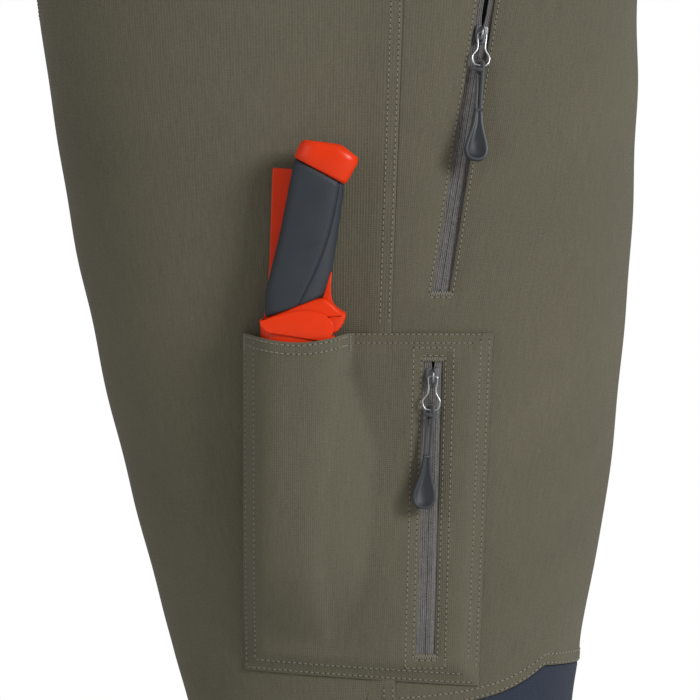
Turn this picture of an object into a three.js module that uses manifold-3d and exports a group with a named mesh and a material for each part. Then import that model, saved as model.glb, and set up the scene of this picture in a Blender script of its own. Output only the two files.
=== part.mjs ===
// Full-wrap chainsaw chaps, as worn: two zipped legs on a waistband and a buckled belt, with a thigh
// pocket that carries a sheathed knife on the wearer's right leg.
// Millimetres, +X to the wearer's front, +Y to the wearer's left, +Z up, with the origin in the middle of the
// waist.
import * as THREE from "three";
import { mergeVertices } from "three/addons/utils/BufferGeometryUtils.js";
import Module from "manifold-3d";

const wasm = await Module();
wasm.setup();

// ---------- driving dimensions ----------
const WAIST_HEIGHT = 1000; // from the hem to the middle of the waistband
const BELT_WIDTH = 38;
const WAISTBAND_WIDTH = BELT_WIDTH + 12;
const WAISTBAND = 8.5;
const WAISTBAND_PROUD = 0.5; // its outer face, outside the waist's outline
const WAIST_DEPTH = 244; // front to back, outside
const WAIST_BREADTH = 332; // side to side, outside
const WAIST_POWER = 2.6; // squareness of the waist's outline: 2 is an ellipse
const LEG_POWER = 2.4; // squareness of a leg's section
const HIP_HEIGHT = 835; // above this the leg's section turns into the waist's

const INNER_FACE_AT_HEM = 46; // from the body's middle plane to a leg's inner face
const INNER_FACE_AT_HIP = 14;
const HIP_HALF = (WAIST_BREADTH / 2 - INNER_FACE_AT_HIP) / 2; // so that the hip is as broad as the waist

// A leg's section from hem to hip: where its back and front edges lie, and half its side-to-side thickness.
const LEG_STATIONS = [
  { h: 0, back: -96, front: 112, half: HIP_HALF - 16 },
  { h: 180, back: -91, front: 108, half: HIP_HALF - 15 },
  { h: 300, back: -83, front: 112, half: HIP_HALF - 14 },
  { h: 390, back: -79, front: 118, half: HIP_HALF - 13 },
  { h: 450, back: -89, front: 122, half: HIP_HALF - 12 },
  { h: 560, back: -119, front: 139.5, half: HIP_HALF - 7 },
  { h: 670, back: -145, front: 152, half: HIP_HALF - 2 },
  { h: 780, back: -163, front: 157, half: HIP_HALF },
  { h: HIP_HEIGHT, back: -171, front: 157, half: HIP_HALF },
];
const ROW = 44; // height of an outer panel's facets
const PAD_ROW = 103;

const SHELL = 1.2; // outer fabric
const SEAM_GAP = 0.6; // between panels that are sewn edge to edge
const REST_GAP = 0.4; // between pieces that lie on each other
const SOFT_GAP = 1; // between soft layers, whose flats don't match
const BAG_DEPTH = 8; // from the outer surface to the hip pocket's bag
const BAG = 0.7;
const PAD_DEPTH = BAG_DEPTH + BAG + SOFT_GAP; // from the outer surface to the saw-cut pad
const PAD = 5;
const LINING = 1.2;
const CUFF_HEIGHT = 40;
const CUFF_PROUD = 0.9; // the cuff's outer face, outside the leg's outer surface
const KNEE_BOTTOM = 262;
const KNEE_TOP = 473; // in front, and from there it falls away to both sides
const KNEE_FALL = 25;
const KNEE_FRONT = 34; // degrees either side of the front before it falls
const BACK_TOP = 831; // top edge of the leg behind the thigh
const CROTCH = 795; // top edge of the leg on its inner side

const TAPE_HALF_WIDTH = 13;
const TAPE_PAST_END = 4; // of a window's zip, under the fabric at each end
const TAPE = 0.8;
const COIL_REACH = 3.2; // from the zip's middle line to the coil's outer edge
const COIL = 2; // coil thickness
const ZIP_GAP = 0.5; // half the gap between the two coils
const SLIDER_LENGTH = 10;
const SLIDER_HALF_WIDTH = 4.2;
const SLIDER_PLATE = 0.8;
const SLIDER_CLEARANCE = 0.3;
const WINDOW_HALF_WIDTH = 5.5;
const ZIP_DEPTH = 2.8; // tape's middle below a garment panel's outer surface
const BRIDGE_WIDTH = 2.4;
const BRIDGE_RISE = 4.2;
const WIRE = 1.2; // bail wire
const WIRE_JOIN = 0.2; // half the gap between the wire's two ends
const BAIL_LENGTH = 18;
const BAIL_RING = 4.6; // half the ring's width
const CORD = 1.9;
const CORD_SPREAD = 1.3; // half the distance between the cord's two strands
const PULL_LENGTH = 28.5;
const PULL_HALF_WIDTH = 6.2;
const PULL_TOP = 41.5; // from the bail's pivot down to the moulded end

const POCKET = { back: -57, front: 76, frontLow: 68.5, top: 649, backLow: 469, frontBottom: 460.5 };
const POCKET_STAND_OFF = 5.2; // inside of the pocket's front, away from the leg
const POCKET_EDGE_GAP = 1.1; // under its sewn edge
const POCKET_MARGIN = 10; // over which it comes down to its sewn edge
const SLEEVE_DEPTH = 27; // room for the sheath at the sleeve's mouth
const SLEEVE_DEPTH_LOW = 23; // and at the sheath's end
const CARGO_ZIP = { low: [40, 478], high: [44.2, 634], depth: ZIP_DEPTH, sliderAt: 143, lean: 0.07 };
const HIP_ZIP = { low: [48.4, 671], high: [76.9, 850], depth: 3.7, sliderAt: 134, lean: 0.18 };
const LEG_ZIP = { low: [14, 2], high: [2, 789], depth: 3, sliderAt: 48, lean: 0.06 };

const KNIFE_AT = { x: -27.9, h: 646.3, away: 14.4 }; // on the knife's axis, at the sheath's mouth
const KNIFE_TILT = 9; // degrees towards the front
const KNIFE_LEAN = 4; // degrees away from the leg
const SHEATH_LENGTH = 118;
const HANDLE_HALF_DEPTH = 10;
const GUARD_HALF_DEPTH = 8;
const STEM_HALF_DEPTH = 3.6; // of the core inside the grip
const TANG_HALF_WIDTH = 5;
const BLADE = 2;
const KNIFE_CLEARANCE = 0.3;

const BELT = 1.8;
const LOOP = 1;
const WAIST_STEP = 8; // degrees between the waist's corners
const WAIST_FROM = 12;
// Two halves that meet at the middle: half is a half's hollow, and bar and fold are the webbing's bar and its
// turn round that bar.
const BUCKLE = { deep: 11, high: BELT_WIDTH + 10, half: 20, bar: 29, fold: 3.4, prong: 18 };

const HOOK = { width: 12, wire: 1.2, low: 4, high: 26, reach: 5, tip: 10 }; // boot hook on the cuff
const BAG_LOW = { x: 118, h: 655 }; // hip pocket's lining bag, from its lower front corner
const BAG_HIGH = { x: 32, h: 862 };
const LINK = { width: 46, height: 22, thick: 1.6, drop: 52 }; // strap between the legs, below the waist

const RAD = Math.PI / 180;
const SIDE = 90; // the angle of a leg's outer side

// ---------- materials ----------
const finish = (color, roughness, metalness = 0) =>
  new THREE.MeshStandardMaterial({ color, roughness, metalness });
const olive = finish(0x615c4b, 0.9);
const slate = finish(0x363c48, 0.85);
const padWhite = finish(0xd8d6cc, 0.95);
const mesh3d = finish(0x2e302c, 0.95);
const tapeGrey = finish(0x676664, 0.85);
const cordBlack = finish(0x24262a, 0.7);
const rubber = finish(0x44494f, 0.7);
const steel = finish(0xb9bcc0, 0.3, 1);
const orange = finish(0xd8401a, 0.4);
const gripBlack = finish(0x3a3e44, 0.75);
const webbing = finish(0x2b2d30, 0.85);
const plastic = finish(0x1f2123, 0.5);

// ---------- solids ----------
function closedOut(positions, index) {
  const g = new THREE.BufferGeometry();
  g.setAttribute("position", new THREE.Float32BufferAttribute(positions, 3));
  let volume = 0;
  const [a, b, c] = [new THREE.Vector3(), new THREE.Vector3(), new THREE.Vector3()];
  const at = g.attributes.position;
  for (let i = 0; i < index.length; i += 3) {
    a.fromBufferAttribute(at, index[i]);
    b.fromBufferAttribute(at, index[i + 1]);
    c.fromBufferAttribute(at, index[i + 2]);
    volume += a.dot(b.cross(c));
  }
  g.setIndex(volume < 0 ? index.slice().reverse() : index);
  return g;
}

// A sheet with thickness: at(u, v, k) gives the point on its outer (k = 0) or inner (k = 1) side.
function slab(nu, nv, at) {
  const positions = [];
  const index = [];
  const id = (i, j, k) => (k * (nv + 1) + j) * (nu + 1) + i;
  for (let k = 0; k < 2; k++)
    for (let j = 0; j <= nv; j++)
      for (let i = 0; i <= nu; i++) positions.push(...at(i / nu, j / nv, k).toArray());
  const quad = (a, b, c, d) => index.push(a, b, c, a, c, d);
  for (let j = 0; j < nv; j++)
    for (let i = 0; i < nu; i++) {
      quad(id(i, j, 0), id(i + 1, j, 0), id(i + 1, j + 1, 0), id(i, j + 1, 0));
      quad(id(i, j, 1), id(i, j + 1, 1), id(i + 1, j + 1, 1), id(i + 1, j, 1));
    }
  for (let i = 0; i < nu; i++) {
    quad(id(i, 0, 0), id(i, 0, 1), id(i + 1, 0, 1), id(i + 1, 0, 0));
    quad(id(i, nv, 0), id(i + 1, nv, 0), id(i + 1, nv, 1), id(i, nv, 1));
  }
  for (let j = 0; j < nv; j++) {
    quad(id(0, j, 0), id(0, j + 1, 0), id(0, j + 1, 1), id(0, j, 1));
    quad(id(nu, j, 0), id(nu, j, 1), id(nu, j + 1, 1), id(nu, j + 1, 0));
  }
  return closedOut(positions, index);
}

// A body through rings of points, closed by a fan at each end.
function loft(rings) {
  const sides = rings[0].length;
  const positions = [];
  const index = [];
  const id = (r, i) => r * sides + (i % sides);
  rings.forEach((ring) => ring.forEach((p) => positions.push(...p)));
  for (let r = 0; r + 1 < rings.length; r++)
    for (let i = 0; i < sides; i++)
      index.push(id(r, i), id(r, i + 1), id(r + 1, i + 1), id(r, i), id(r + 1, i + 1), id(r + 1, i));
  const last = rings.length - 1;
  for (let i = 1; i + 1 < sides; i++)
    index.push(id(0, 0), id(0, i + 1), id(0, i), id(last, 0), id(last, i), id(last, i + 1));
  return closedOut(positions, index);
}

function ovalRing(z, centreX, halfX, halfY, sides, power = 2.6) {
  const ring = [];
  for (let i = 0; i < sides; i++) {
    const [c, s] = unitSection((i / sides) * 2 * Math.PI, power);
    ring.push([centreX + halfX * c, halfY * s, z]);
  }
  return ring;
}

const box = (sx, sy, sz, x = 0, y = 0, z = 0) =>
  new THREE.BoxGeometry(sx, sy, sz).translate(x, y, z);

const outline = (points) => new THREE.Shape(points.map(([x, y]) => new THREE.Vector2(x, y)));

const extrude = (shape, depth) =>
  new THREE.ExtrudeGeometry(shape, { depth, bevelEnabled: false, curveSegments: 8 });

// A round bar through points.
const round = (points, diameter, steps, curveSegments) =>
  new THREE.ExtrudeGeometry(new THREE.Shape().absarc(0, 0, diameter / 2, 0, 2 * Math.PI), {
    steps,
    curveSegments,
    extrudePath: new THREE.CatmullRomCurve3(points),
  });

// A plate whose outline lies in XZ, from y = from to y = to.
const plate = (points, from, to) =>
  extrude(outline(points), to - from)
    .rotateX(Math.PI / 2)
    .translate(0, to, 0);

function solid(geometry) {
  const bare = geometry.clone();
  for (const name of Object.keys(bare.attributes)) if (name !== "position") bare.deleteAttribute(name);
  const merged = mergeVertices(bare, 1e-4);
  return new wasm.Manifold(
    new wasm.Mesh({
      numProp: 3,
      vertProperties: merged.attributes.position.array,
      triVerts: new Uint32Array(merged.index.array),
    }),
  );
}

function geometryOf(manifold) {
  const m = manifold.getMesh();
  const g = new THREE.BufferGeometry();
  g.setAttribute("position", new THREE.BufferAttribute(m.vertProperties, 3));
  g.setIndex(new THREE.BufferAttribute(m.triVerts, 1));
  return g;
}

const joined = (...parts) => geometryOf(parts.map(solid).reduce((a, b) => a.add(b)));
const cut = (body, ...tools) =>
  geometryOf(tools.map(solid).reduce((a, b) => a.subtract(b), solid(body)));

function piece(name, geometry, material) {
  const made = new THREE.Mesh(geometry, material);
  made.name = name;
  return made;
}

// ---------- the garment's surface ----------
const mix = (a, b, t) => a + (b - a) * t;
const ease = (t) => t * t * (3 - 2 * t);
const clamp = (t) => Math.min(1, Math.max(0, t));

// A smooth line through the leg's stations.
function along(key, h) {
  const s = LEG_STATIONS;
  const last = s.length - 1;
  if (h <= s[0].h) return s[0][key];
  if (h >= s[last].h) return s[last][key];
  const i = s.findIndex((_, k) => h < s[k + 1].h);
  const slope = (k) => {
    const [p, q] = [Math.max(k - 1, 0), Math.min(k + 1, last)];
    return (s[q][key] - s[p][key]) / (s[q].h - s[p].h);
  };
  const step = s[i + 1].h - s[i].h;
  const t = (h - s[i].h) / step;
  const [t2, t3] = [t * t, t * t * t];
  return (
    (2 * t3 - 3 * t2 + 1) * s[i][key] +
    (t3 - 2 * t2 + t) * step * slope(i) +
    (3 * t2 - 2 * t3) * s[i + 1][key] +
    (t3 - t2) * step * slope(i + 1)
  );
}

// A point of the unit superellipse in the direction of an angle.
function unitSection(angle, power) {
  const [c, s] = [Math.cos(angle), Math.sin(angle)];
  const size = (Math.abs(c) ** power + Math.abs(s) ** power) ** (1 / power);
  return [c / size, s / size];
}

const innerFace = (h) => -mix(INNER_FACE_AT_HEM, INNER_FACE_AT_HIP, h / HIP_HEIGHT);

// Right leg. Angles are in degrees: 0 is the front, 90 the outer side, 180 the back, and -90 and 270 the
// inner side.
function legPoint(angle, h) {
  const [back, front, half] = ["back", "front", "half"].map((key) => along(key, h));
  const [c, s] = unitSection(angle * RAD, LEG_POWER);
  return new THREE.Vector3(
    (front + back) / 2 + ((front - back) / 2) * c,
    innerFace(h) - half - half * s,
    h,
  );
}

function waistPoint(angle, h) {
  const [c, s] = unitSection(angle * RAD, WAIST_POWER);
  return new THREE.Vector3((WAIST_DEPTH / 2) * c, (-WAIST_BREADTH / 2) * s, h);
}

// Where a leg's angle arrives on the waist's outline.
const WAIST_ANGLES = [
  [-90, 3],
  [-50, 5],
  [0, 36],
  [90, 90],
  [180, 150],
  [270, 200],
];
function waistAngle(angle) {
  const i = Math.min(
    WAIST_ANGLES.length - 2,
    WAIST_ANGLES.findIndex((_, k) => angle <= (WAIST_ANGLES[k + 1] ?? [Infinity])[0]),
  );
  const [[a0, w0], [a1, w1]] = [WAIST_ANGLES[i], WAIST_ANGLES[i + 1]];
  return mix(w0, w1, (angle - a0) / (a1 - a0));
}

const BAND_BOTTOM = WAIST_HEIGHT - WAISTBAND_WIDTH / 2;

function surface(angle, h) {
  const leg = legPoint(angle, h);
  if (h <= HIP_HEIGHT) return leg;
  const t = ease(clamp((h - HIP_HEIGHT) / (BAND_BOTTOM - HIP_HEIGHT)));
  return leg.lerp(waistPoint(waistAngle(angle), h), t);
}

function offset(point, angle, h, depth) {
  const [da, dh] = [0.2, 1];
  const acrossWay = point(angle + da, h).sub(point(angle - da, h));
  const upWay = point(angle, h + dh).sub(point(angle, h - dh));
  const outward = upWay.cross(acrossWay).normalize();
  return point(angle, h).addScaledVector(outward, -depth);
}
const onLeg = (angle, h, depth) => offset(surface, angle, h, depth);
const onWaist = (angle, h, depth) => offset(waistPoint, angle, h, depth);

// The angle on the outer side (or, with side -1, the inner side) where the surface is at x.
function angleAt(x, h, side = 1) {
  let [low, high] = [2, 178];
  for (let i = 0; i < 40; i++) {
    const middle = (low + high) / 2;
    if (surface(side * middle, h).x > x) low = middle;
    else high = middle;
  }
  return side * low;
}
const outerY = (x, h) => surface(angleAt(x, h), h).y;
const facePoint = (x, h, away = 0) => new THREE.Vector3(x, outerY(x, h) - away, h);

// ---------- edges of the panels ----------
const SIDE_SEAM = [
  [0, 10],
  [450, 24],
  [650, 21.5],
  [820, 27.5],
];
function sideSeamAngle(h) {
  if (h > HIP_HEIGHT) return sideSeamAngle(HIP_HEIGHT);
  const k = Math.min(SIDE_SEAM.length - 2, Math.max(0, SIDE_SEAM.findIndex((s) => h < s[0]) - 1));
  const [[h0, x0], [h1, x1]] = h > 820 ? [[0, 27.5], [1, 27.5]] : [SIDE_SEAM[k], SIDE_SEAM[k + 1]];
  return angleAt(mix(x0, x1, (h - h0) / (h1 - h0)), h);
}
function zipX(h) {
  const { low, high } = LEG_ZIP;
  return mix(low[0], high[0], (h - low[1]) / (high[1] - low[1]));
}
const TAPE_EDGE = 7; // outer fabric's edge from the leg zip's middle line
const frontEdgeAngle = (h) => angleAt(zipX(h) + TAPE_EDGE, Math.min(h, HIP_HEIGHT), -1);
const backEdgeAngle = (h) => 360 + angleAt(zipX(h) - TAPE_EDGE, Math.min(h, HIP_HEIGHT), -1);

function topEdge(angle) {
  if (angle < -50) return mix(CROTCH, BAND_BOTTOM, ease((angle + 90) / 40));
  if (angle < 108) return BAND_BOTTOM;
  if (angle < 180) {
    const fall = (angle - 108) / 72;
    return mix(BAND_BOTTOM, BACK_TOP, (ease(fall) + fall) / 2);
  }
  return mix(BACK_TOP, CROTCH, ease((angle - 180) / 90));
}
const kneeTop = (angle) =>
  KNEE_TOP - KNEE_FALL * (1 - Math.exp(-Math.max(0, Math.abs(angle) - KNEE_FRONT) / 20));
const kneeBottom = () => KNEE_BOTTOM;

// A panel between two edge angles (functions of height) and two edge heights (functions of angle). Its facets
// are about row high.
function panel(nu, row, from, to, low, high, depth, thickness) {
  const nv = Math.max(1, Math.round((high(SIDE) - low(SIDE)) / row));
  return slab(nu, nv, (u, v, k) => {
    const rough = mix(from(500), to(500), u);
    const h = mix(low(rough), high(rough), v);
    return onLeg(mix(from(h), to(h), u), h, depth + k * thickness);
  });
}

const shift = (edge, by) => (value) => edge(value) + by;

function zipWindow({ frame, length }) {
  return box(2 * WINDOW_HALF_WIDTH, 14, length, 0, 0, length / 2).applyMatrix4(frame);
}

// ---------- zips ----------
// A zip's own frame: Z up along it, Y away from the garment, X across. Its origin is at its lower end.
function frameOf(low, high, outward) {
  const z = high.clone().sub(low).normalize();
  const x = outward.clone().cross(z).normalize();
  const y = z.clone().cross(x);
  return new THREE.Matrix4().makeBasis(x, y, z).setPosition(low);
}

// place(x, h) is the surface that the zip lies in, and side is 1 where that surface faces away from the body.
function zipOn(place, { low, high, depth }, side = 1) {
  const [x, h] = [0, 1].map((i) => (low[i] + high[i]) / 2);
  const across = place(x + 1, h).sub(place(x - 1, h));
  const up = place(x, h + 1).sub(place(x, h - 1));
  const outward = across.cross(up).normalize().multiplyScalar(side);
  const [from, to] = [low, high].map((end) => place(...end).addScaledVector(outward, -depth));
  return { frame: frameOf(from, to, outward), length: to.distanceTo(from) };
}

function zipHalf(from, to, side) {
  const [coil, tape] = [COIL / 2, TAPE / 2];
  const points = [
    [ZIP_GAP, -coil],
    [COIL_REACH, -coil],
    [COIL_REACH, -tape],
    [TAPE_HALF_WIDTH, -tape],
    [TAPE_HALF_WIDTH, tape],
    [COIL_REACH, tape],
    [COIL_REACH, coil],
    [ZIP_GAP, coil],
  ].map(([x, y]) => [side * x, y]);
  return extrude(outline(points), to - from).translate(0, 0, from);
}

const PLATE_IN = COIL / 2 + SLIDER_CLEARANCE;
const PLATE_OUT = PLATE_IN + SLIDER_PLATE;
const PIVOT = { y: PLATE_OUT + BRIDGE_RISE / 2, z: 5 };

// Two plates on a thin web that runs between the coils, lips over the tape, and a bridge that holds the pull.
function sliderBody() {
  const [w, web, lip, wall] = [SLIDER_HALF_WIDTH, ZIP_GAP - SLIDER_CLEARANCE, TAPE / 2 + 0.4, 0.5];
  const quarter = [
    [web, PLATE_IN],
    [w - wall, PLATE_IN],
    [w - wall, lip],
    [w, lip],
    [w, PLATE_OUT],
  ];
  const flip = (sx, sy) => quarter.map(([x, y]) => [sx * x, sy * y]);
  const section = [
    ...flip(1, 1),
    ...flip(-1, 1).reverse(),
    ...flip(-1, -1),
    ...flip(1, -1).reverse(),
  ];
  const bridge = outline([
    [PLATE_OUT - 0.2, 1.4],
    [PLATE_OUT + BRIDGE_RISE, 2.2],
    [PLATE_OUT + BRIDGE_RISE, 7.2],
    [PLATE_OUT - 0.2, 8.6],
  ]);
  bridge.holes.push(
    outline([
      [PIVOT.y - 0.95, PIVOT.z - 1.8],
      [PIVOT.y - 0.95, PIVOT.z + 1.4],
      [PIVOT.y + 0.9, PIVOT.z + 1.4],
      [PIVOT.y + 0.9, PIVOT.z - 1.8],
    ]),
  );
  // The bridge's outline is in YZ: turn (x, y, depth) into (depth, x, y).
  const turn = new THREE.Matrix4().set(0, 0, 1, -BRIDGE_WIDTH / 2, 1, 0, 0, 0, 0, 1, 0, 0, 0, 0, 0, 1);
  return joined(extrude(outline(section), SLIDER_LENGTH), extrude(bridge, BRIDGE_WIDTH).applyMatrix4(turn));
}

// Wire loop that hangs from the slider's bridge, narrow above and round below. Its ends meet inside the
// bridge, and the pivot is the origin.
function bailWire(length, ring) {
  const neck = BRIDGE_WIDTH / 2 + WIRE / 2 + 0.5;
  const half = [
    [neck - 0.5, 0.1],
    [neck, -1.2],
    [neck + 0.3, -length * 0.45],
    [ring, -length + ring * 1.1],
    [ring * 0.72, -length + ring * 0.25],
  ];
  const points = [
    [WIRE_JOIN, 0],
    ...half,
    [0, -length + WIRE / 2],
    ...half.map(([x, z]) => [-x, z]).reverse(),
    [-WIRE_JOIN, 0],
  ];
  return round(points.map(([x, z]) => new THREE.Vector3(x, 0, z)), WIRE, 26, 3);
}

// One cord through the bail's ring: up in front of the wire, over it and down behind, into the moulded end.
function pullCord() {
  const [w, top] = [CORD_SPREAD, -BAIL_LENGTH + WIRE / 2];
  const clear = (CORD + WIRE) / 2 + 0.35;
  const points = [
    [-w, 0, -PULL_TOP + REST_GAP],
    [-w, 0.4, -PULL_TOP + 9],
    [-w, clear, top - 2],
    [-0.7, clear, top + 1.2],
    [0, 0, top + clear + 0.3],
    [0.7, -clear, top + 1.2],
    [w, -clear, top - 2],
    [w, -0.4, -PULL_TOP + 9],
    [w, 0, -PULL_TOP + REST_GAP],
  ].map((p) => new THREE.Vector3(...p));
  return round(points, CORD, 20, 4);
}

function mouldedEnd() {
  const shape = [
    [0, 0],
    [2.5, 0],
    [2.9, 6],
    [4.4, 13],
    [PULL_HALF_WIDTH, 20],
    [5.6, 25],
    [3.2, 27.9],
    [0, PULL_LENGTH],
  ].map(([r, down]) => new THREE.Vector2(r, -down));
  return new THREE.LatheGeometry(shape.reverse(), 12)
    .rotateX(Math.PI / 2)
    .scale(1, 0.36, 1)
    .translate(0, 0, -PULL_TOP);
}

// The whole zip as a group: two halves, slider and pull. turn makes the pull hang plumb.
function zip(name, { frame, length }, { sliderAt, lean }, turn, past, withCord) {
  const group = new THREE.Group();
  group.applyMatrix4(frame);
  group.add(piece(`${name}_zip_front_half`, zipHalf(-past, length + past, -1), tapeGrey));
  group.add(piece(`${name}_zip_rear_half`, zipHalf(-past, length + past, 1), tapeGrey));
  const slider = piece(`${name}_zip_slider`, sliderBody(), steel);
  slider.position.z = sliderAt;
  const pull = new THREE.Group();
  pull.position.set(0, PIVOT.y, sliderAt + PIVOT.z);
  pull.rotation.set(lean, turn, 0, "YXZ");
  if (withCord) {
    pull.add(piece(`${name}_zip_bail`, bailWire(BAIL_LENGTH, BAIL_RING), steel));
    pull.add(piece(`${name}_zip_cord`, pullCord(), cordBlack));
    pull.add(piece(`${name}_zip_pull`, mouldedEnd(), rubber));
  } else pull.add(piece(`${name}_zip_ring`, bailWire(BAIL_LENGTH * 1.35, BAIL_RING * 0.9), steel));
  group.add(slider, pull);
  return group;
}

// ---------- one leg ----------
function boothook() {
  const { width, wire, low, high, reach, tip } = HOOK;
  const middle = (low + high) / 2;
  const front = onLeg(0, middle, -CUFF_PROUD).x + REST_GAP;
  const side = [
    [0, high],
    [wire, high],
    [wire, low],
    [reach, low],
    [reach, tip],
    [reach + wire, tip],
    [reach + wire, low - wire],
    [0, low - wire],
  ];
  return extrude(outline(side), width)
    .rotateX(Math.PI / 2)
    .translate(front, legPoint(0, middle).y + width / 2, 0);
}

function leg(side) {
  const group = new THREE.Group();
  const [frontIn, frontOut] = [frontEdgeAngle, (h) => sideSeamAngle(h) - 0.2];
  const [backOut, backIn] = [(h) => sideSeamAngle(h) + 0.2, backEdgeAngle];
  const cuffTop = () => CUFF_HEIGHT;
  const hipZip = zipOn(facePoint, HIP_ZIP);

  const thigh = panel(16, ROW, frontIn, frontOut, shift(kneeTop, SEAM_GAP), topEdge, 0, SHELL);
  group.add(piece(`thigh_front_${side}`, cut(thigh, zipWindow(hipZip)), olive));
  group.add(
    piece(`knee_panel_${side}`, panel(16, ROW, frontIn, frontOut, kneeBottom, kneeTop, 0, SHELL), slate),
    piece(
      `shin_panel_${side}`,
      panel(14, ROW, frontIn, frontOut, shift(cuffTop, SEAM_GAP), shift(kneeBottom, -SEAM_GAP), 0, SHELL),
      olive,
    ),
    piece(
      `leg_back_${side}`,
      panel(16, ROW, backOut, backIn, shift(cuffTop, SEAM_GAP), topEdge, 0, SHELL),
      olive,
    ),
    piece(
      `cuff_${side}`,
      panel(24, CUFF_HEIGHT, frontIn, backIn, () => 0, cuffTop, -CUFF_PROUD, CUFF_PROUD + SHELL),
      slate,
    ),
  );

  const tapeClear = TAPE_HALF_WIDTH + 3;
  const padFrom = (h) => angleAt(zipX(h) + tapeClear, Math.min(h, HIP_HEIGHT), -1);
  const padTo = (h) => 360 + angleAt(zipX(h) - tapeClear, Math.min(h, HIP_HEIGHT), -1);
  const padLow = () => CUFF_HEIGHT + 8;
  const padHigh = (a) => topEdge(a) - (a > -50 && a < 108 ? REST_GAP : 12);
  const liningDepth = PAD_DEPTH + PAD + REST_GAP;
  group.add(
    piece(
      `saw_cut_pad_${side}`,
      panel(18, PAD_ROW, padFrom, padTo, padLow, padHigh, PAD_DEPTH, PAD),
      padWhite,
    ),
    piece(
      `lining_${side}`,
      panel(18, PAD_ROW, padFrom, padTo, padLow, padHigh, liningDepth, LINING),
      mesh3d,
    ),
  );

  const bandHeight = (v) => BAND_BOTTOM + REST_GAP + v * (WAISTBAND_WIDTH - REST_GAP);
  const bandDepth = (k) => k * WAISTBAND - WAISTBAND_PROUD;
  const [bandFrom, bandSteps] = [4, 12];
  group.add(
    piece(
      `waistband_${side}`,
      slab(bandSteps, 1, (u, v, k) =>
        onWaist(bandFrom + u * bandSteps * WAIST_STEP, bandHeight(v), bandDepth(k)),
      ),
      olive,
    ),
  );

  const bag = slab(6, 4, (u, v, k) => {
    const h = mix(BAG_LOW.h, BAG_HIGH.h, v);
    const [front, rear] = [BAG_LOW.x, BAG_HIGH.x].map((x) => angleAt(x, Math.min(h, HIP_HEIGHT)));
    return onLeg(mix(front, rear, u), h, BAG_DEPTH + k * BAG);
  });
  group.add(piece(`hip_pocket_bag_${side}`, bag, mesh3d));

  const plumb = Math.atan2(HIP_ZIP.high[0] - HIP_ZIP.low[0], HIP_ZIP.high[1] - HIP_ZIP.low[1]);
  group.add(zip(`hip_${side}`, hipZip, HIP_ZIP, plumb, TAPE_PAST_END, true));

  const innerSide = (x, h) => surface(angleAt(x, h, -1), h);
  group.add(zip(`leg_${side}`, zipOn(innerSide, LEG_ZIP, -1), LEG_ZIP, 0, 0, false));

  group.add(piece(`boot_hook_${side}`, boothook(), steel));
  return group;
}

// ---------- thigh pocket ----------
const knifeAxisX = (h) => KNIFE_AT.x + (h - KNIFE_AT.h) * Math.tan(KNIFE_TILT * RAD);
const sleeveFront = (h) => -1 + (h - POCKET.top) * 0.06; // front edge of the pocket's knife sleeve

// How far the inside of the pocket's front stands away from the leg.
function pocketStandOff(x, h) {
  const [left, rightEdge] = [POCKET.back, pocketFrontEdge(h)];
  const low = pocketBottom(x);
  const inSleeve = x < sleeveFront(h);
  const toTop = inSleeve ? POCKET_MARGIN : POCKET.top - h;
  const flat = ease(clamp(Math.min(x - left, rightEdge - x, h - low, toTop) / POCKET_MARGIN));
  const base = mix(POCKET_EDGE_GAP, POCKET_STAND_OFF, flat);
  if (!inSleeve) return base;
  const reach = (sleeveFront(h) - left) / 2;
  const dome = Math.sqrt(Math.max(0, 1 - Math.abs((x - left - reach) / reach) ** 3));
  const depth = mix(SLEEVE_DEPTH_LOW, SLEEVE_DEPTH, clamp((h - 525) / 110)) * ease(clamp((h - low) / 60));
  return base + Math.max(0, depth - base) * dome;
}

const pocketFrontEdge = (h) =>
  mix(POCKET.frontLow, POCKET.front, (h - POCKET.frontBottom) / (POCKET.top - POCKET.frontBottom));
const pocketBottom = (x) =>
  mix(POCKET.backLow, POCKET.frontBottom, (x - POCKET.back) / (POCKET.frontLow - POCKET.back));
const pocketPoint = (x, h) => facePoint(x, h, pocketStandOff(x, h) + SHELL);

// Places from 0 to 1, close together within a margin at each end.
function graded(count, margin) {
  const inside = Array.from({ length: count + 1 }, (_, i) => mix(margin, 1 - margin, i / count));
  return [0, margin / 2, ...inside, 1 - margin / 2, 1];
}

function pocketFront() {
  const across = graded(20, POCKET_MARGIN / (POCKET.front - POCKET.back));
  const upward = graded(9, POCKET_MARGIN / (POCKET.top - POCKET.backLow));
  return slab(across.length - 1, upward.length - 1, (u, v, k) => {
    const across01 = across[Math.round(u * (across.length - 1))];
    const up01 = upward[Math.round(v * (upward.length - 1))];
    const x = mix(POCKET.back, mix(POCKET.frontLow, POCKET.front, up01), across01);
    const mouth = (x - knifeAxisX(POCKET.top)) / 27;
    const dip = 5 * Math.max(0, 1 - mouth * mouth);
    const h = mix(pocketBottom(x), POCKET.top - dip, up01);
    return facePoint(x, h, pocketStandOff(x, h) + (k ? 0 : SHELL));
  });
}

function cargoPocket() {
  const group = new THREE.Group();
  const cargoZip = zipOn(pocketPoint, CARGO_ZIP);
  group.add(piece("cargo_pocket", cut(pocketFront(), zipWindow(cargoZip)), olive));
  const plumb = Math.atan2(CARGO_ZIP.high[0] - CARGO_ZIP.low[0], CARGO_ZIP.high[1] - CARGO_ZIP.low[1]);
  group.add(zip("cargo", cargoZip, CARGO_ZIP, plumb, TAPE_PAST_END, true));
  return group;
}

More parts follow.
